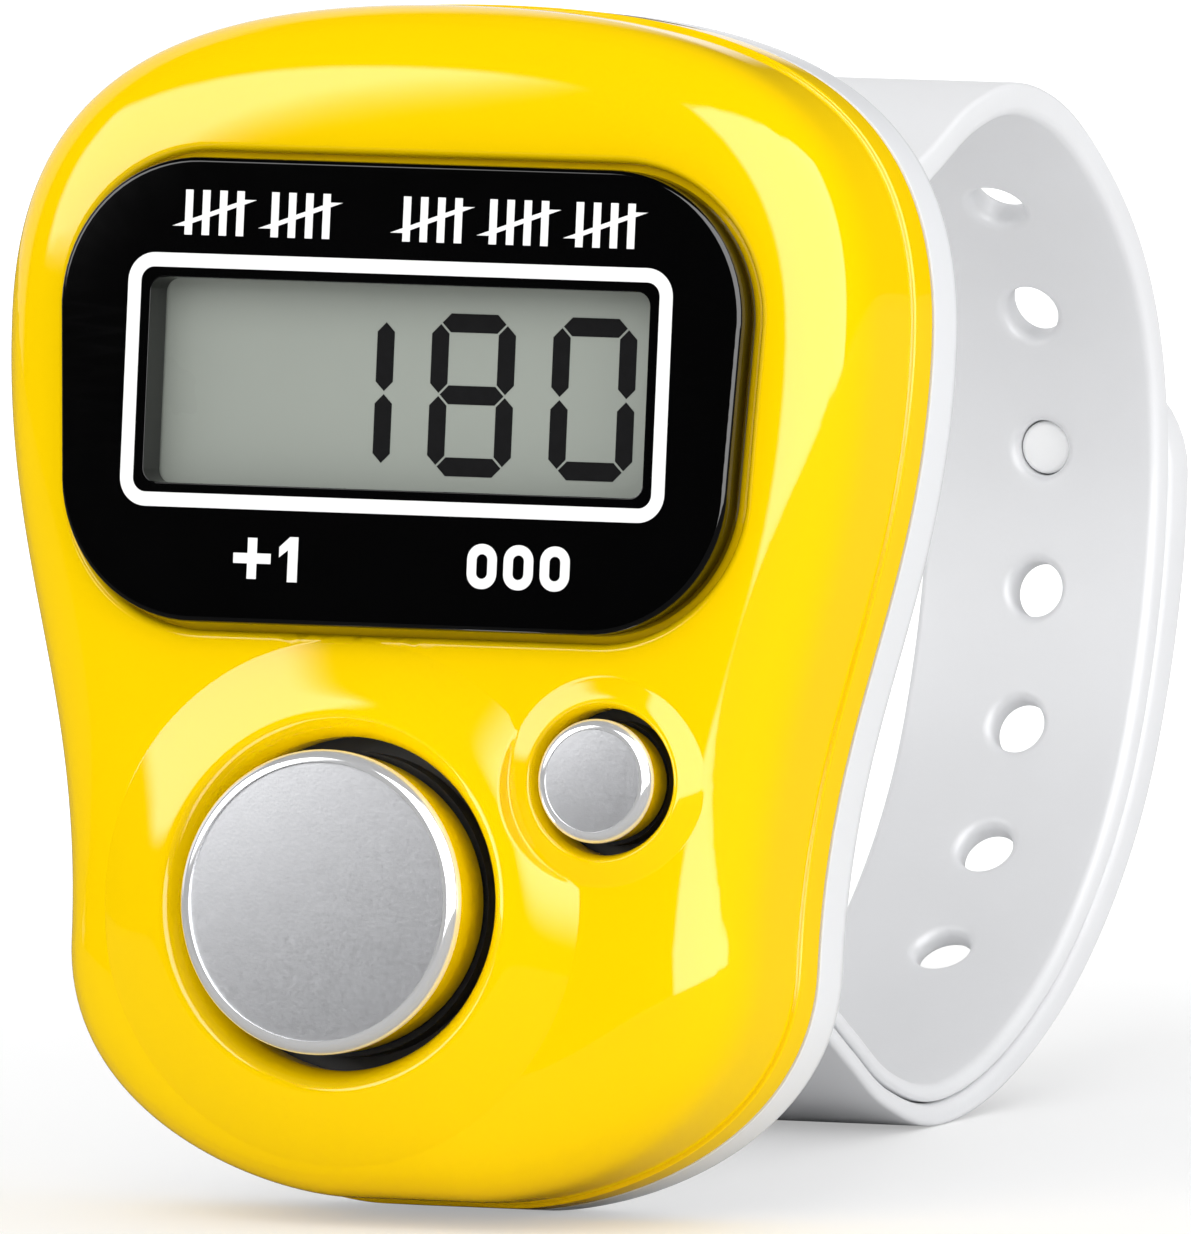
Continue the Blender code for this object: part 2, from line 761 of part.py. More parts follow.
def path_at(run):
    """Point on the strap's inner surface and the direction out of the loop."""
    run = min(max(run, 0.0), path_length)
    low, high = 0, len(path_runs) - 1
    while high - low > 1:
        mid = (low + high) // 2
        if path_runs[mid] <= run:
            low = mid
        else:
            high = mid
    t = (run - path_runs[low]) / (path_runs[high] - path_runs[low])
    point = path_line[low].lerp(path_line[high], t)
    ahead = path_line[min(high + 1, len(path_line) - 1)]
    behind = path_line[max(low - 1, 0)]
    along = (ahead - behind).normalized()
    return point, Vector((-along.y, along.x)) * -1.0, along


def strap_place(run, out, x):
    """A point at a run along the path, out from its inner surface."""
    point, normal, along = path_at(run)
    place = point + normal * out
    return (x, place.y, place.x)


def strap_section(half_width, inside, thickness):
    e = min(strap_edge_round, half_width * 0.9, thickness * 0.45)
    m = e * 0.29
    outside = inside + thickness
    return [
        (-half_width + e, inside), (half_width - e, inside), (half_width - m, inside + m),
        (half_width, inside + e), (half_width, outside - e), (half_width - m, outside - m),
        (half_width - e, outside), (-half_width + e, outside), (-half_width + m, outside - m),
        (-half_width, outside - e), (-half_width, inside + e), (-half_width + m, inside + m),
    ]


def strap_solid(name, start, end, insides, thicknesses, widths, mat, step, origin=None):
    """Strap between two runs, with its inside, thickness and half width at a run."""
    count = max(2, round((end - start) / step))
    rings = []
    for i in range(count + 1):
        run = start + (end - start) * i / count
        section = strap_section(widths(run), insides(run), thicknesses(run))
        rings.append([strap_place(run, out, x) for x, out in section])
    return loft(name, rings, mat, True, origin)


def even_width(run):
    return strap_width / 2


def tail_width(run):
    left = max(tail_end - run, tip_round * 0.02)
    if left > tip_round:
        return strap_width / 2
    share = 1.0 - left / tip_round
    return strap_width / 2 - tip_round * (1.0 - math.sqrt(max(0.0, 1.0 - share * share)))


def blend_length(run, start, reach, before, after):
    """Length that changes evenly from one value to another along the run."""
    share = min(max((run - start) / reach, 0.0), 1.0)
    return before + (after - before) * share


def on_path(run):
    return 0.0


def upper_thickness(run):
    return blend_length(run, taper_start, taper_length, strap_thickness, thin_strap_thickness)


def outer_inside(run):
    return upper_thickness(run) + strap_layer_gap


def outer_thickness(run):
    """Thick at the tip, thin under the upper strap's tail, thicker at the root."""
    if run > path_length - root_taper_length:
        return blend_length(run, path_length - root_taper_length, root_taper_length,
                            thin_outer_thickness, root_outer_thickness)
    return blend_length(run, taper_start, taper_length, outer_strap_thickness, thin_outer_thickness)


def outer_outside(run):
    return outer_inside(run) + outer_thickness(run)


step_length = path_length / 66
anchor_bottom = rear_wall + anchor_gap
anchor_top = anchor_bottom + anchor_depth


def anchor(strap, name, low, high):
    """Wide head of a strap, held inside the rear shell, and its neck."""
    neck = box(name + "_neck", (-strap_width / 2 + strap_edge_round, low, -seam_gap),
               (strap_width / 2 - strap_edge_round, high, anchor_top), strap_white)
    head = box(name + "_head", (-anchor_half_width, low - anchor_lip, anchor_bottom),
               (anchor_half_width, high + anchor_lip, anchor_top), strap_white)
    add(neck, head)
    add(strap, neck)
    slot = box(name + "_slot",
               (-strap_width / 2 - anchor_slot_clearance, low - anchor_slot_clearance, -overrun),
               (strap_width / 2 + anchor_slot_clearance, high + anchor_slot_clearance,
                rear_wall + overrun), None)
    cut(rear_shell, slot)


# Upper strap with its row of holes
strap_upper = strap_solid("strap_upper", 0.0, tail_end, on_path, upper_thickness,
                          tail_width, strap_white, step_length)
upper_root = strap_place(0.0, 0.0, 0.0)[1]
anchor(strap_upper, "upper_anchor", upper_root, upper_root + strap_thickness)


def hole_run(index):
    return strap_first_hole + index * strap_hole_pitch


def across_strap(name, run, radius, inner, outer, mat, nose_radius=None):
    """Round solid across the strap's thickness, at a run along it."""
    steps = 20
    point, normal, along = path_at(run)
    rings = []
    for out, radius in ((inner, nose_radius or radius), (outer, radius)):
        centre = point + normal * out
        ring = []
        for k in range(steps):
            angle = 2 * math.pi * k / steps
            place = centre + along * (radius * math.sin(angle))
            ring.append((radius * math.cos(angle), place.y, place.x))
        rings.append(ring)
    return loft(name, rings, mat)


for index in range(strap_hole_count):
    cut(strap_upper, across_strap("strap_hole_%d" % (index + 1), hole_run(index), strap_hole_radius,
                                  -overrun, strap_thickness + overrun, None))


# Lower strap, outside the upper one: a fork that the tip closes
peg_run = hole_run(holes_before_peg_count)
tip_end = peg_run - tip_run - peg_radius
flex_run = peg_run + tip_length
slot_start = peg_run + fork_slot_start
slot_end = peg_run + fork_slot_end


def tip_width(run):
    left = max(run - tip_end, tip_round * 0.02)
    if left > tip_round:
        return strap_width / 2
    share = 1.0 - left / tip_round
    return strap_width / 2 - tip_round * (1.0 - math.sqrt(max(0.0, 1.0 - share * share)))


def fork_slot(name):
    """Long slot behind the lower holes, round at both ends."""
    count = 25
    reach = fork_slot_width / 2
    rings = []
    for i in range(count + 1):
        run = slot_start + (slot_end - slot_start) * i / count
        nearest = min(run - slot_start, slot_end - run, reach)
        half = max(math.sqrt(max(reach * reach - (reach - nearest) ** 2, 0.0)), reach * 0.2)
        low = outer_inside(run) - strap_layer_gap / 2
        high = outer_outside(run) + overrun
        rings.append([strap_place(run, low, -half), strap_place(run, low, half),
                      strap_place(run, high, half), strap_place(run, high, -half)])
    return loft(name, rings, None, False)


flex_place = strap_place(flex_run, outer_outside(flex_run), 0.0)
strap_lower = strap_solid("strap_lower", flex_run + flex_gap / 2, path_length, outer_inside,
                          outer_thickness, even_width, strap_white, step_length)
cut(strap_lower, fork_slot("lower_fork_slot"))
lower_root = strap_place(path_length, outer_outside(path_length), 0.0)[1]
anchor(strap_lower, "lower_anchor", lower_root, lower_root + root_outer_thickness)

strap_tip = strap_solid("strap_tip", tip_end, flex_run - flex_gap / 2, outer_inside,
                        outer_thickness, tip_width, strap_white, step_length / 2, flex_place)
cut(strap_tip, fork_slot("tip_fork_slot"))
peg_base = outer_inside(peg_run) + outer_strap_thickness / 2
add(strap_tip, across_strap("tip_peg", peg_run, peg_radius, peg_recess, peg_base, strap_white,
                            peg_nose_radius))


# Lean back, and stand on the lowest point of the body and of the strap, with
# the middle of the whole depth over zero
lean = math.radians(lean_angle)
body_frame.rotation_euler = (math.pi / 2 - lean, 0.0, 0.0)


def standing_height(y, z):
    return y * math.cos(lean) + z * math.sin(lean)


def standing_depth(y, z):
    return y * math.sin(lean) - z * math.cos(lean)


ring_runs = [path_length * i / 200 for i in range(201)]
outer_ring = [strap_place(run, outer_outside(run), 0.0) for run in ring_runs if run > tip_end]
lowest = min(standing_height(0.0, rear_round_depth),
             min(standing_height(y, z) for x, y, z in outer_ring))
front_reach = standing_depth(count_y - count_face_radius, front_face + count_stand)
rear_reach = max(standing_depth(y, z) for x, y, z in outer_ring)
body_frame.location = (0.0, -(front_reach + rear_reach) / 2, -lowest)
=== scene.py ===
"""Looks of the finger tally counter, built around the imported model.

Pieces are modelled in the body's own frame, in millimetres: x across, y up the
body, z out of the front, zero on the flat back. place() turns a point of it
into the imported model's frame, in metres.
"""
import json
import math

import bmesh
import bpy
import numpy as np
from mathutils import Matrix, Vector
from mathutils.geometry import delaunay_2d_cdt


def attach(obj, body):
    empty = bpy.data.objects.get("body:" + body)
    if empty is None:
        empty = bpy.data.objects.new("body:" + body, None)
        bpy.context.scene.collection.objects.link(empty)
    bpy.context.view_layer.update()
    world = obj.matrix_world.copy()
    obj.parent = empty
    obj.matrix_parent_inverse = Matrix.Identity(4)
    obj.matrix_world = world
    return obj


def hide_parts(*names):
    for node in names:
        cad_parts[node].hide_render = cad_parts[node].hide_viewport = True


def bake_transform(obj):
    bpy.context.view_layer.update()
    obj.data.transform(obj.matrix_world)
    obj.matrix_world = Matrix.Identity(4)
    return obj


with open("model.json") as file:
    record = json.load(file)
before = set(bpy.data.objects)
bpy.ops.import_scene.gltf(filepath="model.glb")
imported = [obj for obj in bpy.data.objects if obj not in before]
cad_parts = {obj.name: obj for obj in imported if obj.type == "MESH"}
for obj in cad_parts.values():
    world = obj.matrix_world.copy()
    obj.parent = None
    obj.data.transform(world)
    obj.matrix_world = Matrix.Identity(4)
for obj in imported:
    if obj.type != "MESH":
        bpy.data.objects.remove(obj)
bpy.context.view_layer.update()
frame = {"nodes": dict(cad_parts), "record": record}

MM = 0.001
scene = bpy.context.scene

# Body outline and depths, as in the solids
body_height = 42.2
shoulder_half_width = 16.6
shoulder_height = 30.8
hip_half_width = 13.25
hip_height = 8.8
foot_half_width = 2.4
top_handle_share = 0.62
shoulder_handle_share = 0.77
waist_upper_handle_share = 0.412
waist_lower_handle_share = 0.415
hip_handle_share = 0.73
base_handle_share = 0.42
lean = math.radians(7.3)
front_face = 11.05
front_seam = 3.3
skirt_top = 4.8
skirt_step = 0.14
edge_start = 6.45
edge_width = 6.0
shell_wall = 1.3
ceiling = 9.6
rear_depth = 3.15
rear_wall = 1.2
rear_round = 1.7
rear_round_depth = 1.5

# Display panel and window
panel_width = 25.9
panel_height = 16.3
panel_taper = 0.3
panel_centre = 28.2
panel_corner = 5.2
panel_face = 12.0
panel_back = 10.65
pocket_clearance = 0.25
pocket_floor = 10.5
window_width = 19.2
window_height = 7.2
window_centre = 28.5
window_corner = 0.5
glass_hole_width = 22.2
glass_hole_height = 10.0
film_top = 10.5

# Buttons
count_centre = (-1.73, 10.4)
count_radius = 5.35
count_face_radius = 4.88
count_bevel = 0.42
count_hole = 5.85
count_face = 13.1
count_flange = 6.4
count_stem = 1.8
mound_radius = 9.2
mound_height = 0.8
reset_centre = (8.16, 15.0)
reset_radius = 2.18
reset_face_radius = 1.79
reset_bevel = 0.34
reset_hole = 2.57
reset_face = 12.0
reset_flange = 3.1
reset_stem = 0.9
reset_ring_radius = 3.7
reset_ring_height = 0.27
stem_bottom = 8.25
flange_bottom = 8.5
flange_top = 9.35

# Straps
strap_width = 9.1
upper_thickness = 1.1
thin_upper_thickness = 0.5
outer_thickness = 1.65
thin_outer_thickness = 0.65
root_outer_thickness = 1.2
taper_start = 55.0
taper_length = 31.0
root_taper_length = 12.0
layer_gap = 0.2
layer_close = 0.06
inner_edge_round = 0.36
outer_edge_round = 0.2
strap_depth = 43.9
strap_low = 5.4
strap_span = 34.5
hole_radius = 0.98
hole_pitch = 5.05
first_hole = 41.1
hole_count = 7
holes_before_peg = 2
tail_rest = 6.5
peg_radius = 0.8
peg_head_radius = 0.955
tip_run = 1.6
tip_round = 3.2
fork_slot_width = 4.2
fork_slot_start = 2.1
fork_slot_end = 23.6
strap_path_shares = (
    (0.0, 0.771), (0.115, 0.774), (0.253, 0.800), (0.391, 0.850),
    (0.520, 0.917), (0.611, 0.976), (0.694, 1.0), (0.782, 0.983),
    (0.867, 0.928), (0.936, 0.855), (0.979, 0.768), (1.0, 0.664),
    (1.001, 0.554), (0.987, 0.438), (0.956, 0.322), (0.901, 0.214),
    (0.823, 0.116), (0.720, 0.035), (0.616, -0.006), (0.525, 0.004),
    (0.450, 0.044), (0.375, 0.086), (0.276, 0.122), (0.161, 0.145),
    (0.069, 0.155), (0.0, 0.157),
)

# How finely round forms are drawn, in steps, and the angles that stay sharp
outline_steps = 40
foot_steps = 4
panel_corner_steps = 20
panel_side_points = 24
count_steps = 144
reset_steps = 96
hole_steps = 48
peg_steps = 40
path_steps = 24
round_end_steps = 12
slot_side_steps = 40
small_corner_steps = 4
seat_steps = 32
rim_steps = 9
crown_steps = 8
tip_steps = 10
case_sharp = 35.0
button_sharp = 28.0
strap_sharp = 50.0

# Screws in the back
upper_screw = (11.2, 34.8)
lower_screw = (8.6, 5.6)
screw_seat_radius = 1.45
screw_seat_depth = 1.2


# From the body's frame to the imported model's frame
def leaning(y, z):
    """Depth and height of a point of the body's frame, before the shift."""
    return y * math.sin(lean) - z * math.cos(lean), y * math.cos(lean) + z * math.sin(lean)


def mount_place(name):
    for mount in frame["record"]["mounts"]:
        if mount["name"] == name:
            return Vector(mount["pos_m"]) / MM


face_depth, face_height_up = leaning(count_centre[1], count_face)
face_mount = mount_place("count_face")
shift_depth = face_mount.y - face_depth
shift_height = face_mount.z - face_height_up
body_turn = Matrix((
    (1.0, 0.0, 0.0),
    (0.0, math.sin(lean), -math.cos(lean)),
    (0.0, math.cos(lean), math.sin(lean)),
))


def place(x, y, z):
    depth, height = leaning(y, z)
    return Vector((x, depth + shift_depth, height + shift_height)) * MM


# Materials
ramp_ends = (0.3, 0.7)
colour_detail = 3.0
relief_detail = 2.0
rough_scale = 2.7


def add_node(tree, kind, operation=None, **values):
    """Shader node with its operation and the values of its named inputs."""
    node = tree.nodes.new("ShaderNode" + kind)
    if operation:
        node.operation = operation
    for socket, value in values.items():
        node.inputs[socket.replace("_", " ")].default_value = value
    return node


def joined(tree, kind, inputs, operation=None, output=0):
    """Output of a new shader node, whose first inputs are given as values or links."""
    node = add_node(tree, kind, operation)
    for socket, value in zip(node.inputs, inputs):
        if isinstance(value, bpy.types.NodeSocket):
            tree.links.new(value, socket)
        else:
            socket.default_value = value
    return node.outputs[output]


def math_of(tree, operation, *inputs):
    """Output of a math node on values or links."""
    return joined(tree, "Math", inputs, operation)


def smooth_level(tree, value, low, high, low_level, high_level):
    """Runs smoothly from one level to another while a value rises over a span."""
    level = joined(tree, "MapRange", (value, low, high, low_level, high_level))
    level.node.interpolation_type = "SMOOTHSTEP"
    return level


def noise(tree, scale, detail):
    """Noise over the object's own coordinates, scale per metre."""
    texture = add_node(tree, "TexNoise", Scale=scale, Detail=detail)
    tree.links.new(add_node(tree, "TexCoord").outputs["Object"], texture.inputs["Vector"])
    return texture.outputs["Fac"]


def vary(tree, socket, low, high, scale):
    """Runs a shader socket between two colours over a noise."""
    ramp = add_node(tree, "ValToRGB")
    for element, position, colour in zip(ramp.color_ramp.elements, ramp_ends, (low, high)):
        element.position = position
        element.color = (*colour, 1.0)
    tree.links.new(noise(tree, scale, colour_detail), ramp.inputs["Fac"])
    tree.links.new(ramp.outputs["Color"], tree.nodes["Principled BSDF"].inputs[socket])


def grain(tree, scale, height):
    """Fine relief, its height in metres."""
    bump = add_node(tree, "Bump", Strength=1.0, Distance=height)
    tree.links.new(noise(tree, scale, relief_detail), bump.inputs["Height"])
    tree.links.new(bump.outputs["Normal"], tree.nodes["Principled BSDF"].inputs["Normal"])


def finish_of(name, colour, roughness, metallic=0.0, shift=0.02, scale=900.0,
              relief=None, rough_shift=0.03, **sockets):
    """Material whose colour and roughness drift a little over the surface."""
    mat = bpy.data.materials.new(name)
    mat.use_nodes = True
    tree = mat.node_tree
    shader = tree.nodes["Principled BSDF"]
    shader.inputs["Metallic"].default_value = metallic
    for socket, value in sockets.items():
        shader.inputs[socket.replace("_", " ")].default_value = value
    low = tuple(c * (1.0 - shift) for c in colour)
    high = tuple(min(1.0, c * (1.0 + shift)) for c in colour)
    vary(tree, "Base Color", low, high, scale)
    smooth, rough = max(0.0, roughness - rough_shift), roughness + rough_shift
    vary(tree, "Roughness", (smooth,) * 3, (rough,) * 3, scale * rough_scale)
    if relief:
        grain(tree, *relief)
    return mat


yellow = finish_of("yellow_gloss", (0.93, 0.61, 0.0), 0.05, shift=0.008, scale=120.0,
                   rough_shift=0.01, Coat_Weight=1.0, Coat_Roughness=0.03, Coat_IOR=1.5,
                   Specular_IOR_Level=0.0)
# Painted shade: the inside of the front shell is a darker copy of the yellow, for the shade seen through
# the gaps; its satin roughness is real
yellow_painted_shade = finish_of("yellow_satin_painted_shade", (0.75, 0.44, 0.0), 0.4, scale=400.0)
white_shell = finish_of("white_gloss_shell", (0.77, 0.78, 0.80), 0.25, shift=0.003, scale=150.0,
                        rough_shift=0.004)
strap_white = finish_of("soft_white_strap", (0.74, 0.745, 0.76), 0.42, shift=0.012, scale=200.0,
                        relief=(4200.0, 0.0000035))
# Painted highlight: the peg is moulded with the lower strap but gets a brighter white than the strap, so
# its face in the hole reads as brightly lit
peg_painted_highlight = finish_of("white_peg_painted_highlight", (0.93, 0.935, 0.94), 0.4, shift=0.006, scale=200.0)
black_gloss = finish_of("black_gloss_panel", (0.0006, 0.0006, 0.0007), 0.05, shift=0.2, scale=200.0,
                        rough_shift=0.01)
print_white = finish_of("white_print", (0.86, 0.86, 0.86), 0.5, shift=0.02, scale=4000.0)
lcd_film = finish_of("lcd_film_grey", (0.31, 0.335, 0.3), 0.3, shift=0.03, scale=70.0,
                     relief=(9000.0, 0.0000008), Specular_IOR_Level=0.15)
lcd_ink = finish_of("lcd_segment_black", (0.003, 0.003, 0.0035), 0.4, shift=0.2, scale=3000.0,
                    Specular_IOR_Level=0.1)
satin_steel = finish_of("satin_button_face", (0.61, 0.615, 0.635), 0.34, 1.0, shift=0.02, scale=2500.0,
                        relief=(9000.0, 0.0000022))
# Painted shade: the stem, flange and lower side of each button are near black, standing in for the shade
# in the gap round the button
button_base_painted_shade = finish_of("button_base_painted_shade_dark", (0.012, 0.011, 0.01), 0.5, shift=0.2, scale=2500.0)
chrome = finish_of("polished_chrome", (0.86, 0.865, 0.88), 0.035, 1.0, shift=0.01, scale=300.0,
                   rough_shift=0.01)
# Painted highlight: the chrome bevel of each button is partly a diffuse near-white, so that it stays
# bright whatever it reflects
rim_painted_highlight = finish_of("button_rim_painted_highlight", (0.93, 0.935, 0.95), 0.06, 0.6, shift=0.01, scale=300.0,
                       rough_shift=0.01)
# Painted reflection: the steel is about half diffuse grey, standing in for the light its bare metal would
# reflect
steel = finish_of("steel_inside_painted_reflection", (0.62, 0.62, 0.63), 0.3, 0.45, shift=0.03, scale=1500.0)
board = finish_of("green_board", (0.02, 0.16, 0.05), 0.45, shift=0.15, scale=900.0)
epoxy = finish_of("black_epoxy", (0.01, 0.01, 0.011), 0.3, shift=0.2, scale=700.0)
foil = finish_of("silver_foil", (0.6, 0.62, 0.6), 0.35, 0.6, shift=0.05, scale=900.0)
rubber = finish_of("grey_rubber", (0.2, 0.2, 0.21), 0.7, shift=0.06, scale=1800.0)
zebra = finish_of("zebra_strip_rubber", (0.12, 0.12, 0.13), 0.6, shift=0.5, scale=6000.0)
lcd_glass = finish_of("display_glass", (0.62, 0.68, 0.62), 0.06, shift=0.02, scale=400.0)


# Meshes
def make_object(name, points, faces, mats, face_mats=None, smooth_normals=None,
                sharp=case_sharp):
    """Closed mesh from points of the body's frame.

    smooth_normals gives a normal in the body's frame, or None, for each
    corner as {(face, point): normal}.
    """
    bm = bmesh.new()
    verts = [bm.verts.new(place(*p)) for p in points]
    bm.verts.ensure_lookup_table()
    wanted = bm.faces.layers.int.new("wanted")
    made = []
    for index, corners in enumerate(faces):
        face = bm.faces.new([verts[i] for i in corners])
        face.smooth = True
        face[wanted] = index
        if face_mats:
            face.material_index = face_mats[index]
        made.append(face)
    bmesh.ops.recalc_face_normals(bm, faces=bm.faces)
    mesh = bpy.data.meshes.new(name)
    bm.to_mesh(mesh)
    bm.free()
    for mat in mats:
        mesh.materials.append(mat)
    mesh.set_sharp_from_angle(angle=math.radians(sharp))
    if smooth_normals is not None:
        order = [0] * len(mesh.polygons)
        mesh.attributes["wanted"].data.foreach_get("value", order)
        corner_normals = []
        for polygon, index in zip(mesh.polygons, order):
            for corner in polygon.vertices:
                normal = smooth_normals.get((index, corner))
                corner_normals.append(body_turn @ normal if normal else Vector((0.0, 0.0, 0.0)))
        mesh.normals_split_custom_set(corner_normals)
    mesh.attributes.remove(mesh.attributes["wanted"])
    obj = bpy.data.objects.new(name, mesh)
    scene.collection.objects.link(obj)
    return obj


def bezier(start, first, second, end, steps):
    points = []
    for i in range(steps):
        t = i / steps
        u = 1.0 - t
        points.append(tuple((u ** 3 * a + 3 * u * u * t * b) + (3 * u * t * t * c + t ** 3 * d)
                            for a, b, c, d in zip(start, first, second, end)))
    return points


def body_half(steps):
    """Right half of the outline, from the top round to the middle of the foot."""
    top_drop = body_height - shoulder_height
    flank = shoulder_height - hip_height
    shoulder = (shoulder_half_width, shoulder_height)
    hip = (hip_half_width, hip_height)
    curves = (
        ((0.0, body_height), (shoulder_half_width * top_handle_share, body_height),
         (shoulder_half_width, shoulder_height + top_drop * shoulder_handle_share), shoulder),
        (shoulder, (shoulder_half_width, shoulder_height - flank * waist_upper_handle_share),
         (hip_half_width, hip_height + flank * waist_lower_handle_share), hip),
        (hip, (hip_half_width, hip_height * (1.0 - hip_handle_share)),
         (hip_half_width * base_handle_share, 0.0), (foot_half_width, 0.0)),
    )
    half = [point for curve in curves for point in bezier(*curve, steps)]
    return half + [(foot_half_width * (1.0 - k / foot_steps), 0.0) for k in range(foot_steps)]


def outline_with_normals():
    half = body_half(outline_steps)
    closed = half + [(0.0, 0.0)] + [(-x, y) for x, y in reversed(half[1:])]
    count = len(closed)
    normals = []
    for i in range(count):
        run_x = closed[(i + 1) % count][0] - closed[i - 1][0]
        run_y = closed[(i + 1) % count][1] - closed[i - 1][1]
        length = math.hypot(run_x, run_y)
        normals.append((-run_y / length, run_x / length))
    return np.array(closed), np.array(normals)


body_edge, body_edge_out = outline_with_normals()


def body_outline(inset):
    return body_edge - body_edge_out * inset


def round_box(width, height, corner, centre=(0.0, 0.0), taper=0.0, steps=8, side_points=0):
    """Rectangle with round corners, wider at the top by the taper."""
    corners = []
    for quarter in range(4):
        side = 1.0 if quarter in (0, 3) else -1.0
        level = 1.0 if quarter < 2 else -1.0
        half = width / 2 + level * taper / 2
        arc = []
        for i in range(steps + 1):
            angle = math.pi / 2 * (quarter + i / steps)
            x = side * (half - corner) + corner * math.cos(angle)
            y = level * (height / 2 - corner) + corner * math.sin(angle)
            arc.append((centre[0] + x, centre[1] + y))
        corners.append(arc)
    points = []
    for quarter, arc in enumerate(corners):
        points += arc
        following = corners[(quarter + 1) % 4][0]
        for k in range(side_points):
            share = (k + 1) / (side_points + 1)
            points.append((arc[-1][0] + (following[0] - arc[-1][0]) * share,
                           arc[-1][1] + (following[1] - arc[-1][1]) * share))
    return np.array(points)


def circle(centre, radius, steps):
    turn = np.linspace(0.0, 2 * math.pi, steps, endpoint=False)
    return np.stack((centre[0] + radius * np.cos(turn), centre[1] + radius * np.sin(turn)), axis=1)


def loop_distance(points, loop):
    """Distance from each point to a closed line, a batch of points at a time."""
    batch = 2000
    points = np.asarray(points, float)
    step = np.roll(loop, -1, axis=0) - loop
    square = np.maximum((step ** 2).sum(axis=1), 1e-12)
    nearest = np.full(len(points), np.inf)
    for first in range(0, len(points), batch):
        part = points[first:first + batch]
        offset = part[:, None, :] - loop[None, :, :]
        along = np.clip((offset * step[None]).sum(axis=2) / square[None], 0.0, 1.0)
        gap = offset - along[..., None] * step[None]
        nearest[first:first + batch] = np.sqrt((gap ** 2).sum(axis=2).min(axis=1))
    return nearest


def inside(points, loop):
    """Which points lie inside a closed line."""
    x, y = points[:, 0], points[:, 1]
    hits = np.zeros(len(points), bool)
    following = np.roll(loop, -1, axis=0)
    for (ax, ay), (bx, by) in zip(loop, following):
        if ay == by:
            continue
        crosses = (ay > y) != (by > y)
        hits ^= crosses & (x < (bx - ax) * (y - ay) / (by - ay) + ax)
    return hits


def offset_loop(loop, out):
    """A closed line moved outwards along its own normals, for any direction."""
    run = np.roll(loop, -1, axis=0) - np.roll(loop, 1, axis=0)
    run /= np.linalg.norm(run, axis=1)[:, None]
    normal = np.stack((run[:, 1], -run[:, 0]), axis=1)
    following = np.roll(loop, -1, axis=0)
    area = (loop[:, 0] * following[:, 1] - following[:, 0] * loop[:, 1]).sum()
    return loop + normal * (out if area > 0 else -out)


def fill(loops, extra):
    """Triangles between an outer line and the holes in it.

    Returns the points, the faces, and each loop's places among the points.
    """
    coords = [tuple(p) for loop in loops for p in loop]
    edges = []
    first = 0
    for loop in loops:
        count = len(loop)
        edges += [(first + i, first + (i + 1) % count) for i in range(count)]
        first += count
    if len(extra):
        extra = np.asarray(extra, float)
        keep = inside(extra, loops[0])
        for loop in loops[1:]:
            keep &= ~inside(extra, loop)
        extra = extra[keep]
        coords += [tuple(p) for p in extra]
    made, _, faces, origins, _, _ = delaunay_2d_cdt([Vector(c) for c in coords], edges, [], 0, 1e-6)
    made = np.array([tuple(v) for v in made])
    where = {}
    for new, olds in enumerate(origins):
        for old in olds:
            where[old] = new
    corners = np.array([f for f in faces if len(f) == 3])
    centres = made[corners].mean(axis=1)
    keep = inside(centres, loops[0])
    for loop in loops[1:]:
        keep &= ~inside(centres, loop)
    places = []
    first = 0
    for loop in loops:
        places.append([where[first + i] for i in range(len(loop))])
        first += len(loop)
    return made, corners[keep].tolist(), places


def thin(points, gap):
    """Drops points that lie closer than a gap to one already kept."""
    kept = []
    cells = {}
    for x, y in points:
        cell = (math.floor(x / gap), math.floor(y / gap))
        near = False
        for i in (-1, 0, 1):
            for j in (-1, 0, 1):
                for ox, oy in cells.get((cell[0] + i, cell[1] + j), ()):
                    near = near or (x - ox) ** 2 + (y - oy) ** 2 < gap * gap
        if not near:
            cells.setdefault(cell, []).append((x, y))
            kept.append((x, y))
    return kept


row_share = 0.866


def hex_points(low, high, pitch):
    """Points of an even triangular grid between two corners."""
    rows = []
    row = 0
    y = low[1]
    while y < high[1]:
        start = low[0] + (pitch / 2 if row % 2 else 0.0)
        rows += [(x, y) for x in np.arange(start, high[0], pitch)]
        y += pitch * row_share
        row += 1
    return rows


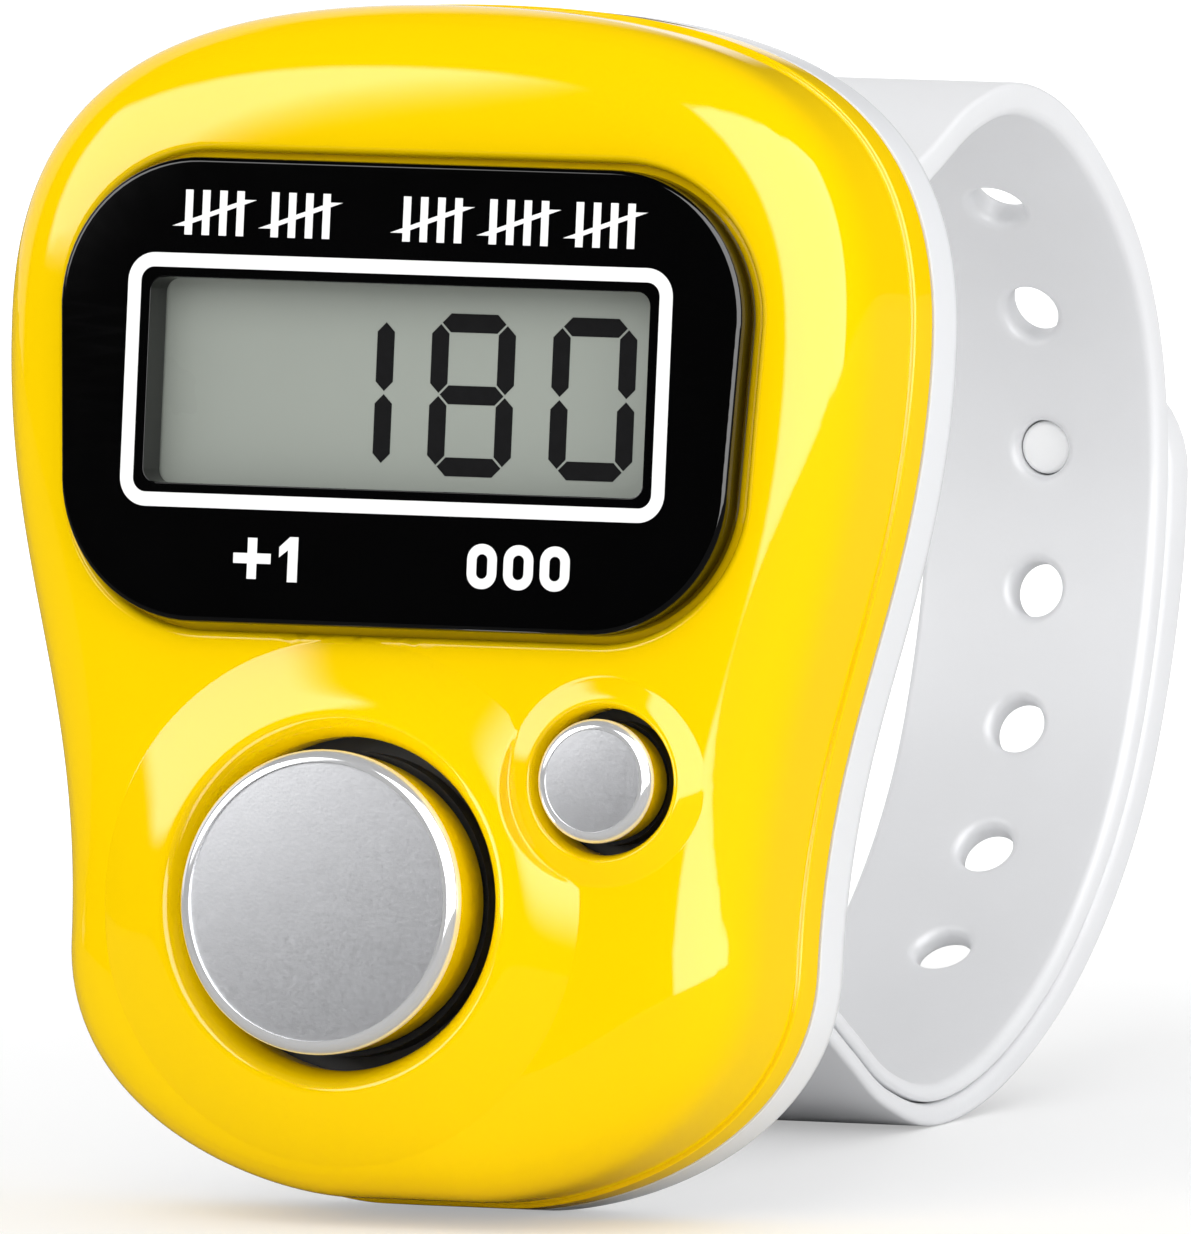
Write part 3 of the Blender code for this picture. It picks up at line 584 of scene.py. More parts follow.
class Builder:
    """Collects points and faces, with smooth normals where they are known."""

    def __init__(self):
        self.points = []
        self.faces = []
        self.mats = []
        self.normals = {}

    def add_points(self, points):
        first = len(self.points)
        self.points += [tuple(float(c) for c in p) for p in points]
        return list(range(first, first + len(points)))

    def face(self, corners, mat=0, normals=None):
        index = len(self.faces)
        self.faces.append(tuple(corners))
        self.mats.append(mat)
        if normals:
            for corner, normal in zip(corners, normals):
                self.normals[(index, corner)] = normal

    def band(self, lower, upper, mat=0, normals=None):
        """Quads between two closed rings of as many points."""
        count = len(lower)
        for i in range(count):
            j = (i + 1) % count
            corners = (lower[i], lower[j], upper[j], upper[i])
            if normals:
                self.face(corners, mat, [normals[c] for c in corners])
            else:
                self.face(corners, mat)

    def patch(self, faces, index, mat=0):
        """Faces of a filled plane, given the point at each of its places."""
        for corners in faces:
            self.face([index[c] for c in corners], mat)

    def join_rings(self, rings, steps, mats):
        """Faces between rings of points, where a ring of one point is a tip."""
        for lower, upper, mat in zip(rings, rings[1:], mats):
            for i in range(steps):
                j = (i + 1) % steps
                if len(lower) == 1:
                    self.face((lower[0], upper[j], upper[i]), mat)
                elif len(upper) == 1:
                    self.face((lower[i], lower[j], upper[0]), mat)
                else:
                    self.face((lower[i], lower[j], upper[j], upper[i]), mat)

    def make(self, name, mats, sharp=case_sharp):
        return make_object(name, self.points, self.faces, mats, self.mats,
                           self.normals if self.normals else None, sharp)


def picked(index, chains):
    """Rings of points, from chains of places in a filled plane."""
    return [[index[c] for c in chain] for chain in chains]


def levels(loop, z):
    return [(x, y, z) for x, y in loop]


# Front shell: its face is one height over the flat plane of the body
pocket_loop = round_box(panel_width + 2 * pocket_clearance, panel_height + 2 * pocket_clearance,
                        panel_corner + pocket_clearance, (0.0, panel_centre), panel_taper,
                        panel_corner_steps, panel_side_points)
glass_hole_loop = round_box(glass_hole_width, glass_hole_height, window_corner, (0.0, window_centre),
                            0.0, small_corner_steps, 6)
count_hole_loop = circle(count_centre, count_hole, count_steps)
reset_hole_loop = circle(reset_centre, reset_hole, reset_steps)
count_lip = 0.32
reset_lip = 0.22
pocket_lip = 0.3
ring_crest_share = 0.24
ring_crest_round = 0.012
ring_foot_share = 0.14
ring_low_share = 0.16
ring_blend = 0.12
edge_power = 0.238


def ring_rise(radius, inner, outer, height):
    """Raised ring: a crest near the hole, an even slope outwards and a crisp foot."""
    share = np.clip((radius - inner) / (outer - inner), 0.0, 1.0)
    rise = np.sin(np.pi / 2 * np.minimum(share / ring_crest_share, 1.0))
    past = np.clip((share - ring_crest_share) / (1.0 - ring_crest_share), 0.0, 1.0)
    slope = np.sqrt(past * past + ring_crest_round) - math.sqrt(ring_crest_round)
    slope /= math.sqrt(1.0 + ring_crest_round) - math.sqrt(ring_crest_round)
    rise = np.where(share > ring_crest_share, 1.0 - (1.0 - ring_foot_share) * slope, rise)
    return np.where(radius < outer, (rise - ring_low_share) * height, 0.0)


def lip_drop(gap, radius):
    """How far a rounded lip falls at a distance from its edge."""
    left = np.clip(radius - gap, 0.0, radius)
    return radius - np.sqrt(np.maximum(radius * radius - left * left, 0.0))


def edge_height(inset):
    """Height of the rounded front edge at a distance from the outline."""
    share = np.clip((inset - skirt_step) / (edge_width - skirt_step), 0.0, 1.0)
    return edge_start + (front_face - edge_start) * (1.0 - (1.0 - share) ** 3) ** edge_power


def far_from(points, centre):
    return np.hypot(points[:, 0] - centre[0], points[:, 1] - centre[1])


def face_surface(points):
    """Height of the face, with its two rings and the lips of its openings."""
    z = edge_height(loop_distance(points, body_edge))
    count_far = far_from(points, count_centre)
    reset_far = far_from(points, reset_centre)
    count_rise = ring_rise(count_far, count_hole, mound_radius, mound_height)
    reset_rise = ring_rise(reset_far, reset_hole, reset_ring_radius, reset_ring_height)
    mix = np.clip((reset_ring_radius + ring_blend - reset_far) / (2 * ring_blend), 0.0, 1.0)
    mix = mix * mix * (3.0 - 2.0 * mix)
    z += count_rise * (1.0 - mix) + reset_rise * mix
    z -= lip_drop(np.maximum(count_far - count_hole, 0.0), count_lip)
    z -= lip_drop(np.maximum(reset_far - reset_hole, 0.0), reset_lip)
    pocket_far = loop_distance(points, pocket_loop)
    pocket_far[inside(points, pocket_loop)] = 0.0
    z -= lip_drop(pocket_far, pocket_lip)
    return z


def surface_normals(points, step=0.004):
    """Outward normals of the face, from its slopes."""
    slopes = []
    for axis in (0, 1):
        shift = np.zeros(2)
        shift[axis] = step
        slopes.append((face_surface(points + shift) - face_surface(points - shift)) / (2 * step))
    normals = np.stack((-slopes[0], -slopes[1], np.ones(len(points))), axis=1)
    return normals / np.linalg.norm(normals, axis=1)[:, None]


def profile_normals(profile):
    """Normals of an (inset, z) profile, as (out, up) pairs."""
    pairs = []
    for i in range(len(profile)):
        before = profile[max(i - 1, 0)]
        after = profile[min(i + 1, len(profile) - 1)]
        run_in = after[0] - before[0]
        run_up = after[1] - before[1]
        length = math.hypot(run_in, run_up) or 1.0
        pairs.append((run_up / length, run_in / length))
    return pairs


join_inset = 0.84
join_room = 0.06
first_rise = 0.35
edge_rings = 22
edge_samples = 4000
ring_margin = 0.14
family_gap = 0.09
point_gap = 0.028
lip_shares = (0.08, 0.2, 0.34, 0.5, 0.7, 1.0)
foot_gaps = (-0.1, -0.04, -0.01, 0.01, 0.05, ring_margin)
pocket_gaps = (0.03, 0.07, 0.12, 0.18, 0.25, 0.32, 0.42, 0.6)
edge_insets = (0.97, 1.12, 1.3, 1.5, 1.75, 2.05, 2.4, 2.8, 3.3, 3.9, 4.6, 5.4)
grid_low = (-16.0, 0.5)
grid_high = (16.0, 41.5)
grid_pitch = 0.62


def ring_points(centre, hole, outer, lip, steps):
    """Points on circles round a hole, close together where the height turns."""
    radii = [hole + lip * share for share in lip_shares]
    radii += list(np.linspace(hole + lip * 1.3, outer - 0.16, 16))
    radii += [outer + gap for gap in foot_gaps]
    return np.concatenate([circle(centre, radius, steps) for radius in radii])


def face_points():
    """Points inside the face, where each family gives way to those before it."""
    families = (
        ring_points(reset_centre, reset_hole, reset_ring_radius, reset_lip, reset_steps),
        ring_points(count_centre, count_hole, mound_radius, count_lip, count_steps),
        np.concatenate([offset_loop(pocket_loop, gap) for gap in pocket_gaps]),
        np.concatenate([body_outline(inset) for inset in edge_insets]),
        np.array(hex_points(grid_low, grid_high, grid_pitch)),
    )
    chosen = []
    for rank, family in enumerate(families):
        keep = np.ones(len(family), bool)
        if rank > 0:
            keep &= far_from(family, reset_centre) > reset_ring_radius + ring_margin + family_gap
        if rank > 1:
            keep &= far_from(family, count_centre) > mound_radius + ring_margin + family_gap
        if rank > 2:
            keep &= loop_distance(family, pocket_loop) > pocket_gaps[-1] + family_gap
        chosen.append(family[keep])
    extra = np.array(thin(np.concatenate(chosen), point_gap))
    return extra[loop_distance(extra, body_edge) >= join_inset + join_room]


def build_front_shell():
    shell = Builder()
    skirt_profile = [(0.12, front_seam), (0.03, front_seam + 0.03), (0.0, front_seam + 0.12),
                     (0.0, skirt_top - 0.1), (0.012, skirt_top - 0.045), (0.045, skirt_top - 0.01),
                     (0.09, skirt_top), (0.17, skirt_top), (0.17, skirt_top + 0.05)]
    flank_profile = [(skirt_step, skirt_top + 0.09), (skirt_step, edge_start - 0.6),
                     (skirt_step, edge_start)]
    heights = np.linspace(edge_start + first_rise, float(edge_height(np.array([join_inset]))[0]),
                          edge_rings)
    insets = np.linspace(skirt_step, join_inset, edge_samples)
    rises = edge_height(insets)
    flank_profile += [(float(np.interp(z, rises, insets)), float(z)) for z in heights[:-1]]
    flank_profile.append((join_inset, float(heights[-1])))
    shell_rings = []
    normal_of = {}
    for part in (skirt_profile, flank_profile):
        pairs = profile_normals(part)
        for (inset, z), (out, up) in zip(part, pairs):
            ring = shell.add_points(levels(body_outline(inset), z))
            for corner, (nx, ny) in zip(ring, body_edge_out):
                normal_of[corner] = Vector((nx * out, ny * out, up)).normalized()
            shell_rings.append(ring)
    for lower, upper in zip(shell_rings, shell_rings[1:]):
        shell.band(lower, upper, 0, normal_of)

    # The face inside the last ring, with the pocket and the two holes
    flat, faces, places = fill(
        [body_outline(join_inset), pocket_loop, count_hole_loop, reset_hole_loop], face_points())
    z = face_surface(flat)
    normals = surface_normals(flat)
    ring_corner = dict(zip(places[0], shell_rings[-1]))
    index = {}
    for i, (x, y) in enumerate(flat):
        if i in ring_corner:
            index[i] = ring_corner[i]
        else:
            index[i] = shell.add_points([(x, y, z[i])])[0]
            normal_of[index[i]] = Vector(normals[i])
    for corners in faces:
        mapped = [index[c] for c in corners]
        shell.face(mapped, 0, [normal_of[c] for c in mapped])

    # Inside: pocket floor, hole walls, ceiling, side wall and rear rim
    pocket_top, count_top, reset_top = picked(index, places[1:])
    floor_flat, floor_faces, floor_places = fill([pocket_loop, glass_hole_loop], [])
    floor_points = shell.add_points([(x, y, pocket_floor) for x, y in floor_flat])
    shell.patch(floor_faces, floor_points)
    pocket_ring, glass_top = picked(floor_points, floor_places)
    shell.band(pocket_ring, pocket_top)
    inner_loop = body_outline(shell_wall)
    under_flat, under_faces, under_places = fill(
        [inner_loop, glass_hole_loop, count_hole_loop, reset_hole_loop], [])
    under_points = shell.add_points([(x, y, ceiling) for x, y in under_flat])
    # The ceiling, the window opening's inner wall, the side wall and the rear rim take the darker yellow,
    # painted shade
    shell.patch(under_faces, under_points, 1)
    under_rings = picked(under_points, under_places)
    shell.band(under_rings[1], glass_top, 1)
    shell.band(under_rings[2], count_top)
    shell.band(under_rings[3], reset_top)
    rim = shell.add_points(levels(inner_loop, front_seam))
    shell.band(rim, under_rings[0], 1)
    shell.band(rim, shell_rings[0], 1)
    return shell.make("front_shell_moulding", [yellow, yellow_painted_shade])


front_shell = build_front_shell()
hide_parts("front_shell")
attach(front_shell, "case")


# Weighted normals keep flat faces flat beside small rounds
def even_shading(obj, weight=80):
    modifier = obj.modifiers.new("even_shading", "WEIGHTED_NORMAL")
    modifier.weight = weight
    modifier.keep_sharp = True
    with bpy.context.temp_override(object=obj, active_object=obj, selected_objects=[obj]):
        bpy.ops.object.modifier_apply(modifier=modifier.name)
    return obj


# Display panel with its window
def build_panel():
    panel = Builder()
    profile = ((0.06, panel_back), (0.0, panel_back + 0.06), (0.0, panel_face - 0.2),
               (0.012, panel_face - 0.13), (0.05, panel_face - 0.06), (0.12, panel_face - 0.016),
               (0.2, panel_face))
    rings = []
    for inset, z in profile:
        loop = round_box(panel_width - 2 * inset, panel_height - 2 * inset, panel_corner - inset,
                         (0.0, panel_centre), panel_taper, panel_corner_steps, panel_side_points)
        rings.append(panel.add_points(levels(loop, z)))
    for lower, upper in zip(rings[1:], rings[2:]):
        panel.band(lower, upper)
    window_profile = ((0.05, panel_face), (0.015, panel_face - 0.015), (0.0, panel_face - 0.05),
                      (0.0, panel_back))
    holes = []
    for out, z in window_profile:
        loop = round_box(window_width + 2 * out, window_height + 2 * out, window_corner + out,
                         (0.0, window_centre), 0.0, 6, 8)
        holes.append(panel.add_points(levels(loop, z)))
    for upper, lower in zip(holes, holes[1:]):
        panel.band(lower, upper)
    for ring, hole in ((rings[-1], holes[0]), (rings[0], holes[-1])):
        loops = [np.array([panel.points[i][:2] for i in chain]) for chain in (ring, hole)]
        _, faces, places = fill(loops, [])
        panel.patch(faces, dict(zip(places[0] + places[1], ring + hole)))
    panel.band(rings[0], rings[1])
    return even_shading(panel.make("display_panel_moulding", [black_gloss]))


display_panel = build_panel()
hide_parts("display_panel")
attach(display_panel, "case")


# Printed line and marks on the panel, and the display's segments
def slab(builder, outer, low, high, hole=None):
    """Thin plate with an outline, and with a hole of as many points."""
    top = builder.add_points(levels(outer, high))
    base = builder.add_points(levels(outer, low))
    builder.band(base, top)
    if hole is None:
        builder.face(top)
        builder.face(base)
        return
    hole_top = builder.add_points(levels(hole, high))
    hole_base = builder.add_points(levels(hole, low))
    builder.band(hole_base, hole_top)
    builder.band(hole_top, top)
    builder.band(hole_base, base)


print_low = panel_face - 0.01
print_high = panel_face + 0.012
line_width = 0.5
line_outer_width = 20.95
line_outer_height = 8.9
line_corner = 1.0

window_line = Builder()
slab(window_line,
     round_box(line_outer_width, line_outer_height, line_corner, (0.0, window_centre), 0.0, 10),
     print_low, print_high,
     round_box(line_outer_width - 2 * line_width, line_outer_height - 2 * line_width,
               line_corner - line_width, (0.0, window_centre), 0.0, 10))
window_line = window_line.make("window_line_print", [print_white])
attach(window_line, "case")

mark_height = 1.58
stroke = 0.36
tally_pitch = 0.66
tally_step = 3.32


def bar(centre, width, height, slant=0.0):
    """Upright bar, whose top leans right by the slant."""
    x, y = centre
    return [(x - width / 2 - slant / 2, y - height / 2), (x + width / 2 - slant / 2, y - height / 2),
            (x + width / 2 + slant / 2, y + height / 2), (x - width / 2 + slant / 2, y + height / 2)]


def tally_group(builder, x, y):
    """Four upright strokes and one across them."""
    for k in range(4):
        slab(builder, bar((x + k * tally_pitch, y), stroke * 0.8, mark_height), print_low, print_high)
    middle = x + 1.5 * tally_pitch
    slab(builder, bar((middle, y), stroke * 1.3, mark_height * 0.62, 2.75), print_low,
         print_high + 0.003)


def plus_sign(builder, x, y, reach):
    half = stroke / 2
    arms = [(-reach, -half), (-half, -half), (-half, -reach), (half, -reach), (half, -half),
            (reach, -half), (reach, half), (half, half), (half, reach), (-half, reach),
            (-half, half), (-reach, half)]
    slab(builder, [(x + px, y + py) for px, py in arms], print_low, print_high)


def figure_one(builder, x, y):
    half = mark_height / 2
    shape = [(-0.12, -half), (0.26, -half), (0.26, half), (-0.06, half), (-0.46, half - 0.36),
             (-0.46, half - 0.72), (-0.12, half - 0.46)]
    slab(builder, [(x + px, y + py) for px, py in shape], print_low, print_high)


def figure_zero(builder, x, y):
    outer, inner = [
        round_box(zero_width - 2 * inset, mark_height - 2 * inset,
                  (zero_width - 2 * inset) * zero_round_share, (x, y), 0.0, 8)
        for inset in (0.0, stroke)]
    slab(builder, outer, print_low, print_high, inner)


zero_width = 1.14
zero_round_share = 0.48
header_y = 34.39
header_groups = ((-8.25, 2), (0.15, 3))
label_y = 22.34
plus_x = -5.25
plus_reach = 0.72
one_x = -3.75
zero_places = (3.6, 5.0, 6.4)

header_marks = Builder()
for start_x, groups in header_groups:
    for k in range(groups):
        tally_group(header_marks, start_x + k * tally_step, header_y)
header_marks = header_marks.make("header_tally_marks", [print_white])
count_marks = Builder()
plus_sign(count_marks, plus_x, label_y, plus_reach)
figure_one(count_marks, one_x, label_y)
count_marks = count_marks.make("count_plus_one_mark", [print_white])
reset_marks = Builder()
for x in zero_places:
    figure_zero(reset_marks, x, label_y)
reset_marks = reset_marks.make("reset_zero_marks", [print_white])
for marks in (header_marks, count_marks, reset_marks):
    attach(marks, "case")

digit_width = 3.22
digit_height = 5.7
digit_stroke = 0.66
digit_pitch = 4.66
digit_gap = 0.055
last_digit_x = 6.9
digit_y = 28.33
lit_segments = {"0": "abcdef", "1": "bc", "8": "abcdefg"}


def segment_bar(start, end):
    """Bar between two points, with a pointed head at both ends."""
    run = Vector(end) - Vector(start)
    along = run.normalized()
    start = Vector(start) + along * digit_gap
    end = Vector(end) - along * digit_gap
    side = Vector((-along.y, along.x)) * digit_stroke / 2
    head = along * digit_stroke / 2
    return [tuple(p) for p in (start, start + head - side, end - head - side, end,
                               end - head + side, start + head + side)]


def segments(builder, text, x, y):
    half = (digit_width - digit_stroke) / 2
    up = (digit_height - digit_stroke) / 2
    corners = {
        "a": ((-half, up), (half, up)),
        "b": ((half, up), (half, 0.0)),
        "c": ((half, 0.0), (half, -up)),
        "d": ((-half, -up), (half, -up)),
        "e": ((-half, 0.0), (-half, -up)),
        "f": ((-half, up), (-half, 0.0)),
        "g": ((-half, 0.0), (half, 0.0)),
    }
    for name in lit_segments[text]:
        start, end = corners[name]
        shape = segment_bar((x + start[0], y + start[1]), (x + end[0], y + end[1]))
        slab(builder, shape, film_top - 0.01, film_top + 0.012)


digits = Builder()
for index, figure in enumerate(reversed("180")):
    segments(digits, figure, last_digit_x - index * digit_pitch, digit_y)
digits = digits.make("display_segments", [lcd_ink])
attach(digits, "case")


# Buttons, turned about their own axis
def turned(name, profile, centre, steps, mats, face_mats):
    shape = Builder()
    rings = []
    for r, z in profile:
        if r == 0.0:
            rings.append(shape.add_points([(centre[0], centre[1], z)]))
        else:
            rings.append(shape.add_points(levels(circle(centre, r, steps), z)))
    shape.join_rings(rings, steps, face_mats)
    return shape.make(name, mats, button_sharp)


rim_round_share = 0.3
rim_out_power = 0.8
rim_up_power = 1.25
crown_share = 0.02
crown_power = 1.4
side_height = 0.9


def button(name, centre, radius, face_radius, bevel, face, flange, stem, steps):
    width = radius - face_radius
    round_edge = width * rim_round_share
    profile = [(0.0, stem_bottom), (stem, stem_bottom), (stem, flange_bottom),
               (flange, flange_bottom), (flange, flange_top), (radius, flange_top),
               (radius, flange_top + side_height), (radius, face - bevel - round_edge)]
    for k in range(1, rim_steps):
        turn = math.pi / 2 * k / rim_steps
        profile.append((face_radius + width * math.cos(turn) ** rim_out_power,
                        face - bevel + bevel * math.sin(turn) ** rim_up_power))
    profile += [(face_radius + 0.012, face - 0.004)]
    dark = 7
    bright = len(profile) - dark
    crown = face_radius * crown_share
    for k in range(crown_steps + 1):
        share = 1.0 - (k / crown_steps) ** crown_power
        profile.append((face_radius * share, face - crown * share * share))
    # Stem, flange and lower side take the near-black painted shade, the upper side chrome, the bevel the
    # painted-highlight rim, the crown the satin face
    face_mats = [2] * (dark - 1) + [0] + [3] * bright + [1] * crown_steps
    return turned(name, profile, centre, steps, [chrome, satin_steel, button_base_painted_shade, rim_painted_highlight], face_mats)


count_button = button("count_button_turned", count_centre, count_radius, count_face_radius,
                      count_bevel, count_face, count_flange, count_stem, count_steps)
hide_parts("count_button")
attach(count_button, "count")
reset_button = button("reset_button_turned", reset_centre, reset_radius, reset_face_radius,
                      reset_bevel, reset_face, reset_flange, reset_stem, reset_steps)
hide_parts("reset_button")
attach(reset_button, "reset")


# Rear shell
def rear_profile():
    """Rounded rear edge, as (inset, z) pairs from the flat back outwards."""
    turns = [math.pi / 2 * k / rim_steps for k in range(rim_steps + 1)]
    return [(rear_round * (1.0 - math.sin(turn)), rear_round_depth * (1.0 - math.cos(turn)))
            for turn in turns]


tongue_outer = 1.5
tongue_inner = 2.2
tongue_height = 1.35
slot_room = 0.3
slot_corner = 0.25
seat_room = 0.05
strap_slots = ((31.7, 33.4), (8.62, 10.42))


def build_rear_shell():
    shell = Builder()
    outer = [shell.add_points(levels(body_outline(inset), z)) for inset, z in rear_profile()]
    outer.append(shell.add_points(levels(body_outline(0.0), rear_depth - 0.1)))
    outer.append(shell.add_points(levels(body_outline(0.03), rear_depth - 0.03)))
    outer.append(shell.add_points(levels(body_outline(0.12), rear_depth)))
    for lower, upper in zip(outer, outer[1:]):
        shell.band(lower, upper)
    inner_top = shell.add_points(levels(body_outline(tongue_outer), rear_depth))
    tongue_top = shell.add_points(levels(body_outline(tongue_outer), rear_depth + tongue_height))
    tongue_in = shell.add_points(levels(body_outline(tongue_inner), rear_depth + tongue_height))
    shell.band(outer[-1], inner_top)
    shell.band(inner_top, tongue_top)
    shell.band(tongue_top, tongue_in)
    slots = [round_box(strap_width + 2 * slot_room, high - low, slot_corner,
                       (0.0, (low + high) / 2), 0.0, small_corner_steps) for low, high in strap_slots]
    seats = [circle((side * x, y), screw_seat_radius, seat_steps)
             for x, y in (upper_screw, lower_screw) for side in (-1.0, 1.0)]
    back_flat, back_faces, back_places = fill([body_outline(rear_round)] + slots + seats, [])
    index = dict(zip(back_places[0], outer[0]))
    for i, (x, y) in enumerate(back_flat):
        if i not in index:
            index[i] = shell.add_points([(x, y, 0.0)])[0]
    shell.patch(back_faces, index)
    floor_flat, floor_faces, floor_places = fill([body_outline(tongue_inner)] + slots, [])
    floor_points = shell.add_points([(x, y, rear_wall) for x, y in floor_flat])
    shell.patch(floor_faces, floor_points)
    mouths = picked(index, back_places[1:])
    floor_rings = picked(floor_points, floor_places)
    shell.band(tongue_in, floor_rings[0])
    for mouth, inner in zip(mouths, floor_rings[1:]):
        shell.band(mouth, inner)
    for mouth in mouths[len(slots):]:
        deep = shell.add_points([(*shell.points[c][:2], screw_seat_depth - seat_room) for c in mouth])
        shell.band(mouth, deep)
        shell.face(deep)
    return even_shading(shell.make("rear_shell_moulding", [white_shell]))


rear_shell = build_rear_shell()
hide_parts("rear_shell")
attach(rear_shell, "case")


# Straps: flat sheets with holes, bent along the strap's path
def catmull(points, steps):
    line = []
    padded = [2 * points[0] - points[1]] + points + [2 * points[-1] - points[-2]]
    for a, b, c, d in zip(padded, padded[1:], padded[2:], padded[3:]):
        for i in range(steps):
            t = i / steps
            line.append(0.5 * ((2 * b) + (c - a) * t + (2 * a - 5 * b + 4 * c - d) * t * t
                               + (3 * b - a - 3 * c + d) * t ** 3))
    line.append(points[-1].copy())
    return line


path_line = np.array([tuple(p) for p in catmull(
    [Vector((-depth * strap_depth, strap_low + height * strap_span))
     for depth, height in strap_path_shares], path_steps)])
path_runs = np.concatenate(([0.0], np.cumsum(np.linalg.norm(np.diff(path_line, axis=0), axis=1))))
path_length = float(path_runs[-1])
slope_reach = 0.12


def on_line(run):
    """Depth and height of the strap's path at a run."""
    return [np.interp(run, path_runs, path_line[:, axis]) for axis in (0, 1)]


def path_at(run):
    """Places on the strap's inner surface and the directions out of the loop."""
    run = np.asarray(run, float)
    held = np.clip(run, 0.0, path_length)
    place_z, place_y = on_line(held)
    ahead_z, ahead_y = on_line(np.clip(held + slope_reach, 0.0, path_length))
    behind_z, behind_y = on_line(np.clip(held - slope_reach, 0.0, path_length))
    dz, dy = ahead_z - behind_z, ahead_y - behind_y
    length = np.hypot(dz, dy)
    dz, dy = dz / length, dy / length
    past = run - held
    return place_z + dz * past, place_y + dy * past, dy, -dz


def strap_places(flat, out):
    """Bends sheet points (run, x), an amount out of the inner surface."""
    z, y, normal_z, normal_y = path_at(flat[:, 0])
    return np.stack((flat[:, 1], y + normal_y * out, z + normal_z * out), axis=1)


edge_shares = (0.04, 0.12, 0.24, 0.38, 0.55, 0.75, 1.0)
sheet_pitch = 0.42
sheet_columns = 13
sheet_gap = 0.05
end_margin = 0.3
side_margin = 0.75
edge_room = 0.012


def strap_sheet(outline, holes, bottom, top):
    """Sheet solid between two surfaces, with rounded edges and hole rims.

    bottom and top give the two surfaces' distances out of the path at a run.
    """
    sheet = Builder()
    extra = []
    for share in edge_shares:
        extra += list(offset_loop(outline, -share * inner_edge_round))
        for hole in holes:
            extra += list(offset_loop(hole, share * inner_edge_round))
    low, high = outline.min(axis=0), outline.max(axis=0)
    columns = np.linspace(low[1] + side_margin, high[1] - side_margin, sheet_columns)
    for run in np.arange(low[0] + end_margin, high[0], sheet_pitch):
        extra += [(run, x) for x in columns]
    extra = np.array(thin(extra, sheet_gap))
    keep = loop_distance(extra, outline) > edge_room
    for hole in holes:
        keep &= loop_distance(extra, hole) > edge_room
    flat, faces, places = fill([outline] + list(holes), extra[keep])
    edge_gap = loop_distance(flat, outline)
    for hole in holes:
        edge_gap = np.minimum(edge_gap, loop_distance(flat, hole))
    low_side, high_side = bottom(flat[:, 0]), top(flat[:, 0])
    inner_round = np.minimum(inner_edge_round, (high_side - low_side) * 0.5)
    outer_round = np.minimum(outer_edge_round, (high_side - low_side) * 0.4)
    inner = sheet.add_points(strap_places(flat, low_side + lip_drop(edge_gap, inner_round)))
    outer = sheet.add_points(strap_places(flat, high_side - lip_drop(edge_gap, outer_round)))
    for corners in faces:
        sheet.face([inner[c] for c in corners])
        sheet.face([outer[c] for c in corners])
    for low_ring, high_ring in zip(picked(inner, places), picked(outer, places)):
        sheet.band(low_ring, high_ring)
    return sheet


def half_width_at(left):
    """Half width of a strap at a distance from its rounded end."""
    left = np.minimum(left, tip_round)
    share = 1.0 - left / tip_round
    return strap_width / 2 - tip_round * (1.0 - np.sqrt(np.maximum(0.0, 1.0 - share ** 2)))


def across_end(before, after):
    """Points across a strap's end, between two of its edge points."""
    across = np.linspace(before[1], after[1], sheet_columns + 1)[1:-1]
    return [(before[0], x) for x in across]


def strap_outline(start, end, round_start, round_end):
    """Closed outline of a straight strap, with one or both ends rounded."""
    half = strap_width / 2
    right = []
    arc = [tip_round * (1.0 - math.cos(math.pi / 2 * k / tip_steps)) for k in range(tip_steps)]
    inner_start = start + (tip_round if round_start else 0.0)
    inner_end = end - (tip_round if round_end else 0.0)
    if round_start:
        right += [(start + gap, float(half_width_at(gap))) for gap in arc]
    count = max(2, round((inner_end - inner_start) / sheet_pitch))
    right += [(inner_start + (inner_end - inner_start) * i / count, half) for i in range(count + 1)]
    if round_end:
        right += [(end - gap, float(half_width_at(gap))) for gap in reversed(arc)]
    left = [(run, -x) for run, x in reversed(right)]
    loop = right + across_end(right[-1], left[0]) + left + across_end(left[-1], right[0])
    return np.array(loop)


def slot_loop(start, end, half):
    """Long slot with two round ends, in the flat sheet."""
    points = []
    straight = end - start - 2 * half
    for side, middle in ((1.0, end - half), (-1.0, start + half)):
        for k in range(round_end_steps + 1):
            turn = side * math.pi / 2 - math.pi * k / round_end_steps
            points.append((middle + half * math.cos(turn), half * math.sin(turn)))
        for k in range(1, slot_side_steps):
            points.append((middle - side * straight * k / slot_side_steps, -side * half))
    return np.array(points)


def hole_run(index):
    return first_hole + index * hole_pitch


tail_end = path_length - tail_rest
peg_run = hole_run(holes_before_peg)
tip_end = peg_run - tip_run - peg_radius
root_sink = 1.3


def taper(run, start, reach, before, after):
    """Length that changes evenly from one value to another along the run."""
    return before + (after - before) * np.clip((run - start) / reach, 0.0, 1.0)


def on_path(run):
    return np.zeros(len(run))


def upper_outside(run):
    """Outer surface of the upper strap, drawn a little nearer to the lower one."""
    thick = taper(run, taper_start, taper_length, upper_thickness, thin_upper_thickness)
    return thick + (layer_gap - layer_close) / 2


def lower_inside(run):
    return upper_outside(run) + layer_close


def lower_outside(run):
    thick = taper(run, taper_start, taper_length, outer_thickness, thin_outer_thickness)
    root = taper(run, path_length - root_taper_length, root_taper_length, 0.0,
                 root_outer_thickness - thin_outer_thickness)
    return lower_inside(run) + (layer_gap - layer_close) / 2 + thick + root


